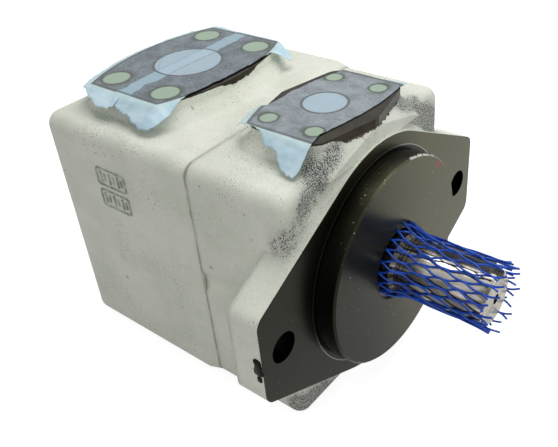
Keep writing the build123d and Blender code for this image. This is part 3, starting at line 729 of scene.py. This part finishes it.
# %% Steel
def steel_material(name, tone, shade, roughness, ring_scale=0.0, end_tone=None):
    """Bare steel with rubbed patches and, for a turned piece, rings along its axis."""
    material, place = new_finish(name)
    patches = step(grain(stretched(place, (0.35, 1.0, 1.0)), 170.0, 4.0, 0.6), 0.35, 0.7)
    base, metallic = blend(patches, tone, shade), 0.95
    height = grain(place, 700.0, 2.0)
    if ring_scale:
        rings = grain(stretched(place, (1.0, 0.02, 0.02)), ring_scale, 2.0)
        height = height * 0.3 + rings
    if end_tone is not None:
        base, face = shaft_marks(place, base, patches, end_tone)
        metallic = face * -0.6 + 0.95
    finished = {"Base Color": base, "Roughness": patches * 0.14 + roughness, "Metallic": metallic}
    surface(material, finished, bump=height, depth=0.0002)
    return material


shaft_tone, shaft_shade = colour(206, 203, 196), colour(160, 156, 148)
shaft_face = colour(206, 202, 184)
shaft_steel = steel_material("shaft_steel", shaft_tone, shaft_shade, 0.16, 900.0, shaft_face)
finish("drive_shaft", shaft_steel)

# %% [markdown]
# The same recipe with other values serves the key, the screws, the bearing and the
# cartridge, most of which are seen only when the pump is opened. A table is easier to
# read and to extend than a call for each finish.

# %% Steel parts
vanes = [name for name in frame["nodes"] if name.startswith("vane_")]
races = ["bearing_outer_race", "bearing_inner_race"]
steels = {
    "key_steel": ((150, 148, 142), (110, 108, 102), 0.35, 0.0, ["shaft_key"]),
    "black_screws": ((70, 70, 72), (44, 44, 46), 0.38, 0.0, ["body_bolts", "cartridge_screws"]),
    "polished_steel": (
        (206, 207, 210), (180, 181, 184), 0.16, 600.0, [*races, "bearing_balls", "dowel_pins"],
    ),
    "ground_steel": ((172, 172, 174), (140, 140, 143), 0.3, 500.0, ["cam_ring", "rotor", *vanes]),
    "spring_steel": (
        (92, 92, 96), (64, 64, 68), 0.34, 0.0,
        ["bearing_retaining_ring", "shaft_circlip", "seal_case"],
    ),
    "plate_iron": (
        (138, 138, 134), (104, 104, 100), 0.4, 400.0, ["front_side_plate", "rear_side_plate"],
    ),
    "bronze": ((196, 160, 92), (160, 124, 66), 0.3, 500.0, ["bearing_cage", "rear_bush"]),
}
for name, (tone, shade, roughness, ring_scale, wearers) in steels.items():
    steel = steel_material(name, colour(*tone), colour(*shade), roughness, ring_scale)
    for wearer in wearers:
        finish(wearer, steel)

# %% [markdown]
# The seals are black rubber. Plain black looks like a hole, so it has the soft grey
# bloom that rubber gets in store.

# %% Rubber seals
seal_rubber, place = new_finish("seal_rubber")
bloom = step(grain(place, 180.0, 3.0), 0.4, 0.8)
rubber_tone = blend(bloom, colour(26, 26, 28), colour(48, 48, 50))
surface(seal_rubber, {"Base Color": rubber_tone, "Roughness": bloom * 0.15 + 0.5}, bump=bloom)
for wearer in ("seal_lip", "joint_seal", "plate_seal"):
    finish(wearer, seal_rubber)

# %% [markdown]
# Pale blue tape keeps dirt out of the ports. Cloth simulation would crease it like
# cotton, but tape holds the fold that it was given. So each strip is a grid of points:
# it lies flat on the port face, and past the edge it falls by a plain curve of the
# distance. That distance is what this first helper measures.


# %% How far past the edge
def outside_pad(shape, x, y):
    """Distance in metres past the edge of a port face, negative on it."""
    centre, half_y, depth_front, depth_rear, crown = shape
    bow = crown * (1.0 - min(abs(y) / half_y, 1.0) ** 2)
    dx = x - centre
    past_x = dx - (depth_front + bow) if dx > 0 else -dx - (depth_rear + bow)
    past_y = abs(y) - half_y
    if past_x > 0 and past_y > 0:
        return math.hypot(past_x, past_y)
    return max(past_x, past_y)


def soft_fall(slope, curl):
    """Tape past the edge bends down over the first millimetres, then runs straight."""
    bend, longest_drop = 0.004, 0.0112

    def fall(away):
        if away < bend:
            return slope * away * away / (2 * bend)
        return min(slope * (away - bend / 2) + curl * (away - bend) ** 2, longest_drop)

    return fall


suction_pad = (suction_x, 0.0525, 0.029, 0.029, 0.012)
discharge_pad = (discharge_x, 0.0405, 0.0246, 0.0214, 0.0088)
print("mm past the edge at x = -0.09:", round(outside_pad(suction_pad, -0.09, 0.0) / mm, 1))

# %% [markdown]
# Torn tape has a line that wanders slowly and has small teeth. A border is drawn by a
# few points and then roughened by noise. One maker gives all twelve borders of the
# three strips, each with a seed of its own.


# %% Torn edges
def wobble(value, seed, size):
    """A slow wander and small teeth."""
    slow = noise.noise(Vector((value * 130.0, seed * 7.31, 0.4)))
    teeth = noise.noise(Vector((value * 520.0, seed * 3.17, 2.4)))
    return size * (slow + 0.45 * teeth)


def through(*points):
    """A line through control points, as a function."""

    def at(value):
        if value <= points[0][0]:
            return points[0][1]
        for (low, first), (high, second) in zip(points, points[1:]):
            if value <= high:
                return first + (second - first) * (value - low) / (high - low)
        return points[-1][1]

    return at


def ramp(value, low, high):
    """A smooth rise from 0 to 1."""
    share = min(max((value - low) / (high - low), 0.0), 1.0)
    return share * share * (3 - 2 * share)


def torn(line, seed, size, pace=1.0):
    """A border along a line, with a torn edge; pace slows the tearing down."""
    return lambda value: line(value) + wobble(value * pace, seed, size)


end_pace = 0.05
print("wobble at 0.01 m", round(wobble(0.01, 3.0, 0.001) / mm, 3), "mm")

# %% [markdown]
# The strip's mesh is one grid between four borders. Each point keeps its distance past
# the edge as an attribute, because the finish needs it too. Faces share their points,
# so the shading is smooth, and a Solidify modifier gives the tape its thickness.


# %% Lay a strip
def plain_object(name, mesh):
    """An object made from a bmesh, which is then let go."""
    data = bpy.data.meshes.new(name)
    mesh.to_mesh(data)
    mesh.free()
    made = bpy.data.objects.new(name, data)
    bpy.context.scene.collection.objects.link(made)
    return made


def tape_strip(name, pad, face_z, lift, borders, fall, columns=64, rows=160):
    """A strip laid on a port face, between four torn borders."""
    low_x, high_x, low_y, high_y = borders
    mesh = bmesh.new()
    past = mesh.verts.layers.float.new("past_edge")

    def strip_point(u, v):
        y = low_y(u) + (high_y(u) - low_y(u)) * v
        x = low_x(y) + (high_x(y) - low_x(y)) * u
        away = outside_pad(pad, x, y)
        loose = min(max(away, 0.0) / 0.004, 1.0)
        crinkle = 0.00012 * noise.noise(Vector((x * 60, y * 400, lift * 9000)))
        wave = loose * 0.0011 * noise.noise(Vector((x * 70, y * 55, 3.0)))
        drop = fall(max(away, 0.0))
        point = mesh.verts.new((x, y, face_z + lift - drop + crinkle * (1 + 3 * loose) + wave))
        point[past] = away
        return point

    across = range(columns + 1)
    grid = [[strip_point(i / columns, j / rows) for j in range(rows + 1)] for i in across]
    for first, second in zip(grid, grid[1:]):
        for j in range(rows):
            mesh.faces.new((first[j], second[j], second[j + 1], first[j + 1])).smooth = True
    area = sum(face.calc_area() for face in mesh.faces)
    strip = plain_object(name, mesh)
    wall = strip.modifiers.new("wall", "SOLIDIFY")
    wall.thickness, wall.offset = 0.00018, 1.0
    print(name, "flat area", round(area * 1e4, 1), "cm2")
    return strip, area


# %% [markdown]
# The suction port is covered by two strips that overlap in the middle. Their near ends
# hang down over the casting's shoulder as torn flaps. Each strip runs across the pump,
# so its long borders are lines of X along Y, and its ends are lines of Y across it.

# %% Rear strip of the suction port
tape_gap = 0.00035
rear_edge = through(
    (-0.06, -0.186), (-0.03, -0.1885), (0.0, -0.1875), (0.03, -0.1905), (0.05, -0.1850),
    (0.06, -0.178),
)
seam_edge = through((-0.065, -0.1400), (-0.02, -0.1365), (0.02, -0.1385), (0.06, -0.1400))
rear_end = through(
    (0.0, -0.034), (0.06, -0.044), (0.2, -0.0545), (0.4, -0.058), (0.6, -0.062), (0.8, -0.065),
    (1.0, -0.061),
)
rear_borders = (
    torn(rear_edge, 3.0, 0.0010),
    torn(seam_edge, 2.0, 0.0009),
    torn(rear_end, 5.0, 0.0024, end_pace),
    torn(lambda u: 0.058 + 0.002 * math.sin(4 * u), 6.0, 0.0018, end_pace),
)
rear_fall = soft_fall(0.50, 4.0)
rear_strip, rear_area = tape_strip(
    "suction_tape_rear_strip", suction_pad, suction_face, tape_gap, rear_borders, rear_fall
)

# %% [markdown]
# The front strip lies on the rear one, one thickness higher. It reaches furthest back
# in the middle, where the overlap was pressed down over the bore.

# %% Front strip of the suction port
overlap_lift = 0.0003
overlap_edge = through(
    (-0.06, -0.1465), (-0.02, -0.1475), (-0.008, -0.156), (0.0, -0.161), (0.008, -0.156),
    (0.02, -0.1475), (0.06, -0.147),
)
front_edge = through(
    (-0.067, -0.1080), (-0.060, -0.1040), (-0.051, -0.1035), (-0.042, -0.1050),
    (-0.034, -0.1062), (-0.020, -0.1045), (0.0, -0.1030), (0.020, -0.1035), (0.036, -0.1045),
    (0.042, -0.0995), (0.047, -0.0965), (0.051, -0.1010), (0.056, -0.112),
)
front_end = through(
    (0.0, -0.0575), (0.35, -0.0610), (0.6, -0.0630), (0.82, -0.0668), (1.0, -0.0665),
)
front_borders = (
    torn(overlap_edge, 7.0, 0.0009),
    torn(front_edge, 8.0, 0.0008),
    torn(front_end, 9.0, 0.0022, end_pace),
    torn(lambda u: 0.0545 - 0.003 * ramp(u, 0.7, 1.0), 10.0, 0.0015, end_pace),
)
front_lift, front_fall = tape_gap + overlap_lift, soft_fall(0.78, 2.0)
front_strip, front_area = tape_strip(
    "suction_tape_front_strip", suction_pad, suction_face, front_lift, front_borders, front_fall
)

# %% [markdown]
# The discharge port is smaller and takes one strip. Its near end widens into a flap
# and its far corner reaches past the face, where the roll was torn off.

# %% Discharge port tape
discharge_rear = through(
    (-0.043, -0.0590), (-0.039, -0.0650), (-0.030, -0.0675), (-0.023, -0.0655),
    (-0.018, -0.0612), (0.0, -0.0605), (0.02, -0.0580), (0.041, -0.0520),
)
discharge_front = through(
    (-0.054, -0.0120), (-0.039, -0.0140), (-0.030, -0.0160), (0.0, -0.0105), (0.02, -0.0095),
    (0.036, -0.0110), (0.043, -0.0100), (0.048, -0.0160),
)
discharge_end = through(
    (0.0, -0.0400), (0.12, -0.0405), (0.2, -0.0395), (0.4, -0.0450), (0.56, -0.0475),
    (0.72, -0.0515), (0.86, -0.0555), (0.95, -0.0560), (1.0, -0.0530),
)
discharge_borders = (
    torn(discharge_rear, 12.0, 0.0009),
    torn(discharge_front, 13.0, 0.0006),
    torn(discharge_end, 14.0, 0.0022, end_pace),
    torn(lambda u: 0.0405 + 0.0085 * ramp(u, 0.68, 0.9), 15.0, 0.0008, end_pace),
)
discharge_strip, discharge_area = tape_strip(
    "discharge_tape_strip",
    discharge_pad,
    discharge_face,
    tape_gap,
    discharge_borders,
    soft_fall(0.80, 2.0),
    columns=60,
    rows=130,
)

# %% [markdown]
# The tape is thin crepe paper, so its colour depends on what is under it. Stuck on dark
# metal it looks grey. It is pale blue over the bore and where it hangs in the air,
# greenish over the screw holes, and dark along every edge that it is pressed against.
# Thin dark lines along both sides of the overlap are painted shadows of the strips' torn
# edges. The stored distance and the port's spots tell these places apart.

# %% Stuck tape
tape_pale, tape_blue = colour(206, 229, 240), colour(180, 212, 227)
tape_green, tape_line = colour(156, 178, 156), colour(62, 68, 66)


def stuck_tape(place, past, spots, loose_x, tones):
    """Tape on metal, its loose band, the spots of the holes, the pressed lines and the painted
    shadows of the torn edges.
    """
    stuck = blend(step(grain(place, 90.0, 3.0), 0.35, 0.65), *tones)
    stuck = blend(specked(place, 760.0, 0.44, 0.10) * 0.36, stuck, colour(182, 190, 196))
    halo = spots["Halo"] * step(grain(place, 120.0, 3.0), 0.36, 0.6)
    stuck = blend(halo * 0.85, stuck, colour(72, 74, 66))
    band_x = axes(place)[0] + (grain(place, 38.0, 3.0) * 0.016 - 0.008)
    stuck = blend(between(band_x, *loose_x, 0.0008) * 0.8, stuck, colour(156, 184, 200))
    stuck = blend(spots["Port"] * 0.85, stuck, colour(168, 190, 204))
    stuck = blend(spots["Screws"] * 0.9, stuck, tape_green)
    border = step(abs(past + 0.0012), 0.0014, 0.0004) * 0.8
    # painted shadow: dark lines where the torn edges of the strips lie on the tape
    torn_edge_shadows = [step(abs(band_x - side), 0.0006, 0.0002) * 0.55 for side in loose_x]
    return blend(larger(spots["Rims"], border, *torn_edge_shadows) * 0.85, stuck, tape_line)


# %% [markdown]
# Past the edge nothing lies under the tape, so it takes its own pale colour there, with
# a little green where the glue gathers. Crepe has fine creases across the roll: grain
# squeezed along one axis gives them, in the gloss and as a shallow bump. A touch of
# sheen stands for the fibres.


# %% Tape finish
def tape_material(name, port, loose_x, tones):
    """Crepe tape over one port; loose_x is where it stands clear of the metal."""
    material, place = new_finish(name)
    stored = node(material.node_tree, "ShaderNodeAttribute", attribute_name="past_edge")
    past = Field(stored.outputs["Fac"])
    free = step(past, -0.0002, 0.0004)
    pale = blend(step(grain(place, 90.0, 3.0), 0.35, 0.7), tape_pale, tape_blue)
    spots = spots_of_port(place, *port)
    base = blend(free, stuck_tape(place, past, spots, loose_x, tones), pale)
    base = blend(free * step(past, 0.006, 0.0) * 0.45, base, colour(176, 196, 178))
    crepe = grain(stretched(place, (160.0, 1400.0, 300.0)), 1.0, 2.0)
    finished = {
        "Base Color": base,
        "Roughness": crepe * 0.2 + 0.42,
        "Specular IOR Level": 0.35,
        "Sheen Weight": 0.15,
    }
    surface(material, finished, bump=crepe, strength=0.35, depth=0.0002)
    return material


# %% [markdown]
# The suction tape has a loose band where its two strips overlap. The discharge tape has
# none, so its band is put where there is no tape.

# %% Tape on each port
suction_tape_finish = tape_material(
    "suction_tape_finish",
    (suction_x, suction_pitch, suction_bore * 0.9, 0.0088),
    (-0.1480, -0.1360),
    (colour(112, 124, 131), colour(88, 99, 106)),
)
nowhere = (0.5, 0.6)
discharge_tape_finish = tape_material(
    "discharge_tape_finish",
    (discharge_x, discharge_pitch, discharge_bore * 0.95, 0.0054),
    nowhere,
    (colour(142, 152, 158), colour(118, 127, 133)),
)
print("tape finishes", suction_tape_finish.name, discharge_tape_finish.name)

# %% [markdown]
# Each strip rides on the body of its own cover, so it lifts off with it, and stands in
# for the plain solid. Its area is set beside the blank that a sheet was torn from, which
# is a length of 50 mm roll.

# %% Put the tape on its bodies
suction_cover = ("suction_cover", "suction_tape", suction_tape_finish, "rear_body")
discharge_cover = ("discharge_cover", "discharge_tape", discharge_tape_finish, "front_body")
for strip, area, cover, blank in (
    (rear_strip, rear_area, suction_cover, (0.05, 0.125)),
    (front_strip, front_area, suction_cover, (0.05, 0.128)),
    (discharge_strip, discharge_area, discharge_cover, (0.05, 0.106)),
):
    body, tape_node, tape_finish, casting = cover
    strip.data.materials.append(tape_finish)
    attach(strip, body)
    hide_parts(tape_node)
    whole = blank[0] * blank[1]
    print(strip.name, "takes", round(area / whole, 3), "of its blank")

# %% [markdown]
# The shaft travels in a sleeve of extruded netting: two sets of plastic strands wound
# opposite ways and welded where they cross. Geometry Nodes suit it well. One straight
# strand is copied for each place round the shaft, and its points are then moved onto a
# helix. The strands linger at their crossings, which rounds the meshes, draw together
# over the key and stand off at the mouth.


# %% Course of a strand
def strand_course(given, which, along, hand):
    """Where a point of a strand goes; hand is 1 or -1, for the way that it winds."""
    ends = {"Min": -0.0045, "Max": 0.0035, "ID": which, "Seed": given["Seed"] + 50.0 * hand}
    cut = node(along.tree, "FunctionNodeRandomValue", ends, data_type="FLOAT").outputs[1]
    x = along * (given["End"] - given["Start"] + cut) + given["Start"]
    sway = (along * 9.0 + which * 1.7).math("SINE")
    crossings = given["Turns"] * (given["Strands"] * (4 * math.pi))
    linger = (along * crossings).math("SINE") / crossings
    turns = (linger * -0.8 + along) * given["Turns"] * hand + sway * 0.0035
    angle = (which / given["Strands"] + turns) * (2 * math.pi)
    angle = (angle - given["Key Angle"]).math("SINE") * -0.22 + angle
    over_key = (angle - given["Key Angle"]).math("COSINE").math("MAXIMUM", 0.0).math("POWER", 9.0)
    mouth = step(along, 0.26, 0.06, 0.0, 0.0034)
    flare = along.math("POWER", 14.0) * 0.0012
    radius = over_key * given["Key Bulge"] + given["Radius"] + given["Strand Radius"] * (0.7 * hand)
    radius = radius + mouth + flare
    return x, radius * angle.math("COSINE"), radius * angle.math("SINE")


# %% [markdown]
# The sleeve's sizes come from the shaft, the key and the plain sleeve of the frame. They
# become named inputs of the tree, so the netting can be tuned in the modifier panel.
# The seed fixes where each strand is cut.

# %% Sizes of the netting
net_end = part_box("shaft_net")[1].x
key_low, key_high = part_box("shaft_key")
key_middle = (key_low + key_high) / 2
net_sizes = {
    "Strands": 18,
    "Start": pilot_length - 0.0030,
    "End": net_end,
    "Radius": shaft_radius + 0.0009,
    "Strand Radius": 0.0006,
    "Turns": 0.155,
    "Key Angle": math.atan2(key_middle.z, key_middle.y),
    "Key Bulge": 0.0040,
    "Seed": 7,
}
print("key at", round(math.degrees(net_sizes["Key Angle"]), 1), "degrees round the shaft")

# %% [markdown]
# One set of strands starts as a row of points. Each point carries its number, and a
# straight strand is copied onto it. Once the copies are real curves, Set Position moves
# every point of them onto the strand's course.


# %% One set of strands
def wound_strands(tree, given, straight, hand):
    """One set of strands, all wound the same way."""
    row = node(tree, "GeometryNodeMeshLine", {"Count": given["Strands"]})
    number = node(tree, "GeometryNodeInputIndex").outputs[0]
    named = node(
        tree,
        "GeometryNodeStoreNamedAttribute",
        {"Geometry": row.outputs[0], "Name": "strand", "Value": number},
        data_type="FLOAT",
        domain="POINT",
    )
    points = {"Points": named.outputs[0], "Instance": straight}
    copies = node(tree, "GeometryNodeInstanceOnPoints", points)
    single = node(tree, "GeometryNodeRealizeInstances", {0: copies.outputs[0]})
    stored = node(tree, "GeometryNodeInputNamedAttribute", {"Name": "strand"}, data_type="FLOAT")
    along = Field(node(tree, "GeometryNodeSplineParameter").outputs["Factor"])
    x, y, z = strand_course(given, Field(stored.outputs[0]), along, hand)
    spot = node(tree, "ShaderNodeCombineXYZ", {0: x, 1: y, 2: z})
    moved = {"Geometry": single.outputs[0], "Position": spot.outputs[0]}
    return node(tree, "GeometryNodeSetPosition", moved).outputs[0]


# %% [markdown]
# The tree joins both sets, gives each strand a round section of six sides, which is
# enough for so thin a thing, and ends in real geometry with its material set.


# %% Netting tree
def netting_tree():
    """Strands on two opposite helices, with a bulge over the key."""
    tree = bpy.data.node_groups.new("shaft_netting", "GeometryNodeTree")
    for label, value in net_sizes.items():
        kind = "NodeSocketInt" if isinstance(value, int) else "NodeSocketFloat"
        tree.interface.new_socket(label, in_out="INPUT", socket_type=kind).default_value = value
    tree.interface.new_socket("Finish", in_out="INPUT", socket_type="NodeSocketMaterial")
    tree.interface.new_socket("Geometry", in_out="OUTPUT", socket_type="NodeSocketGeometry")
    given = fields(tree.nodes.new("NodeGroupInput").outputs)
    line = node(tree, "GeometryNodeCurvePrimitiveLine", {"Start": (0, 0, 0), "End": (1, 0, 0)})
    straight = node(tree, "GeometryNodeResampleCurve", {"Curve": line.outputs[0], "Count": 90})
    both = node(tree, "GeometryNodeJoinGeometry")
    for hand in (1.0, -1.0):
        plug(both.inputs[0], wound_strands(tree, given, straight.outputs[0], hand))
    circle = {"Resolution": 6, "Radius": given["Strand Radius"]}
    section = node(tree, "GeometryNodeCurvePrimitiveCircle", circle).outputs[0]
    tube = {"Curve": both.outputs[0], "Profile Curve": section, "Fill Caps": True}
    made = node(tree, "GeometryNodeCurveToMesh", tube).outputs[0]
    made = node(tree, "GeometryNodeSetShadeSmooth", {"Geometry": made}).outputs[0]
    made = node(tree, "GeometryNodeRealizeInstances", {0: made}).outputs[0]
    coat = {"Geometry": made, "Material": given["Finish"]}
    made = node(tree, "GeometryNodeSetMaterial", coat).outputs[0]
    plug(tree.nodes.new("NodeGroupOutput").inputs[0], made)
    return tree


sleeve_tree = netting_tree()
print("netting tree", len(sleeve_tree.nodes), "nodes")

# %% [markdown]
# The netting is cobalt plastic, paler where a strand catches dust. The grain is finer
# than a mesh of the net, so that the tone changes along a single strand.

# %% Netting finish
blue_netting, place = new_finish("blue_netting")
dusty = step(grain(place, 260.0, 3.0), 0.35, 0.7)
strand_blue = blend(dusty, colour(5, 60, 172), colour(22, 94, 208))
gloss = {"Roughness": dusty * 0.1 + 0.3, "Specular IOR Level": 0.4}
surface(blue_netting, {"Base Color": strand_blue, **gloss}, bump=dusty, strength=0.15)
print("finish", blue_netting.name)

# %% [markdown]
# The tree runs as a modifier on an empty object. Its result is taken as a plain mesh
# and the modifier is removed, because an export keeps meshes and drops instances. An
# input is set by its socket's identifier, since a name need not be the only one.

# %% Netting on the shaft
netting = bpy.data.objects.new("shaft_netting", bpy.data.meshes.new("shaft_netting"))
bpy.context.scene.collection.objects.link(netting)
maker = netting.modifiers.new("maker", "NODES")
maker.node_group = sleeve_tree
for item in sleeve_tree.interface.items_tree:
    if item.name == "Finish":
        maker[item.identifier] = blue_netting
evaluated = netting.evaluated_get(bpy.context.evaluated_depsgraph_get())
sleeve_mesh = bpy.data.meshes.new_from_object(evaluated)
netting.modifiers.clear()
netting.data = sleeve_mesh
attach(netting, "net")
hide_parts("shaft_net")
print("netting faces", len(sleeve_mesh.polygons))

# %% [markdown]
# A foundry casts small raised frames into the side of a body, for its marks. Here they
# hold plain raised strokes. They are too small for the CAD solid, so low ribs are
# modelled on the wall. Two helpers build any rib: a ring of points at one height, and
# the band of faces between two rings. The foot is sunk a little, so that no gap shows.

# %% Rings on a wall
sunk = 0.0002


def ring_on_wall(mesh, centre, outline, out):
    """A closed row of points on a wall that faces -Y, standing out from it."""
    return [mesh.verts.new((centre.x + u, centre.y - out, centre.z + w)) for u, w in outline]


def join_rings(mesh, first, second):
    """A band of faces between two rings."""
    count = len(first)
    for k in range(count):
        after = (k + 1) % count
        mesh.faces.new((first[k], first[after], second[after], second[k]))


# %% [markdown]
# A frame is four rings, from its outer foot over its top to its inner foot, joined
# round to the first. A stroke is two rings, the upper one smaller, as a casting needs
# to leave its mould, and is closed at both ends.


# %% Frames and strokes
def raised_frame(mesh, centre, size, rib, height, cut=0.0012):
    """A low rectangular frame with its corners cut."""
    loops = []
    section = ((0.0, -sunk), (rib * 0.45, height), (rib * 0.9, height), (rib * 1.35, -sunk))
    for inset, out in section:
        half_x, half_z = size[0] / 2 - inset, size[1] / 2 - inset
        right_side = [
            (half_x - cut, half_z),
            (half_x, half_z - cut),
            (half_x, -half_z + cut),
            (half_x - cut, -half_z),
        ]
        left_side = [(-u, -w) for u, w in right_side]
        loops.append(ring_on_wall(mesh, centre, right_side + left_side, out))
    for first, second in zip(loops, loops[1:] + loops[:1]):
        join_rings(mesh, first, second)


def raised_bar(mesh, centre, size, height, taper=0.0003):
    """A plain raised stroke."""
    rings = []
    for inset, out in ((0.0, -sunk), (taper, height)):
        half_x, half_z = size[0] / 2 - inset, size[1] / 2 - inset
        outline = [(half_x, half_z), (half_x, -half_z), (-half_x, -half_z), (-half_x, half_z)]
        rings.append(ring_on_wall(mesh, centre, outline, out))
    join_rings(mesh, *rings)
    mesh.faces.new(rings[1])
    mesh.faces.new(rings[0][::-1])


# %% [markdown]
# Two frames stand one above the other, each with six strokes, tall and short in turn.
# The strokes say nothing. They only fill the place that a foundry's marks take.

# %% Foundry frames
mark_centre = Vector((-0.134, rear_low.y, 0.041))
marks = bmesh.new()
for offset in (-0.0075, 0.0075):
    middle = mark_centre + Vector((0, 0, offset))
    raised_frame(marks, middle, (0.026, 0.0125), 0.0009, 0.0010)
    for number, place_x in enumerate((-0.0088, -0.0056, -0.0012, 0.0022, 0.0062, 0.0092)):
        tall = 0.0076 if number % 2 == 0 else 0.0052
        raised_bar(marks, middle + Vector((place_x, 0, 0)), (0.0016, tall), 0.0008)
bmesh.ops.recalc_face_normals(marks, faces=marks.faces)
foundry_frames = plain_object("foundry_frames", marks)
print("foundry frames faces", len(foundry_frames.data.polygons))

# %% [markdown]
# The frames wear a greyer version of the casting's paint, so they stand out darker than the wall.

# %% Greyer paint on the frames
greyer_frame_paint, place = new_finish("greyer_frame_paint")
highlight_and_pale_patches = step(grain(place, 240.0, 3.0), 0.35, 0.65)
# the frames are painted greyer than the wall around them
frame_grey = blend(highlight_and_pale_patches, colour(146, 150, 138), colour(196, 200, 187))
surface(greyer_frame_paint, {"Base Color": frame_grey, "Roughness": 0.5}, bump=highlight_and_pale_patches, strength=0.3)
foundry_frames.data.materials.append(greyer_frame_paint)
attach(foundry_frames, "housing")
print("frames wear", greyer_frame_paint.name)

# %% [markdown]
# A rough cutter left dark nibs of metal on the edge of the flange's near ear. Each is a
# small ball, squared a little, pushed about by noise and flattened onto the edge.

# %% Flange burrs
nibs = bmesh.new()
nib_places = ((-0.1066, 0.0000, 0.0032), (-0.1066, -0.0042, 0.0034), (-0.1067, -0.0105, 0.0020))
for index, (y, z, size) in enumerate(nib_places):
    ball = bmesh.ops.create_icosphere(nibs, subdivisions=3, radius=size)
    for vert in ball["verts"]:
        lump = 1.0 + 0.3 * noise.noise(vert.co * 420 + Vector((index * 5.0, 0, 0)))
        squared = [math.copysign((abs(v) / size) ** 0.6 * size, v) for v in vert.co]
        flattened = Vector((squared[0] * 0.8, squared[1] * 0.45, squared[2] * 1.05))
        vert.co = flattened * lump + Vector((-0.0029, y, z))
for face in nibs.faces:
    face.smooth = True
flange_burrs = plain_object("flange_burrs", nibs)
burr_iron = steel_material("burr_iron", colour(34, 32, 29), colour(18, 17, 16), 0.4)
flange_burrs.data.materials.append(burr_iron)
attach(flange_burrs, "housing")
print("burrs", len(nib_places), "faces", len(flange_burrs.data.polygons))

# %% [markdown]
# The dressing may not outgrow the pump. The box of the whole model is taken once more
# and kept beside the one that was read at the start, and the growth at each corner is
# printed.

# %% Sizes kept for comparison
visual_box = [list(corner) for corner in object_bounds()]
for name, visual, cad in zip(("low", "high"), visual_box, cad_box):
    growth = [round((v - c) / mm, 1) for v, c in zip(visual, cad)]
    print("growth at the", name, "corner in mm", growth)

# %% [markdown]
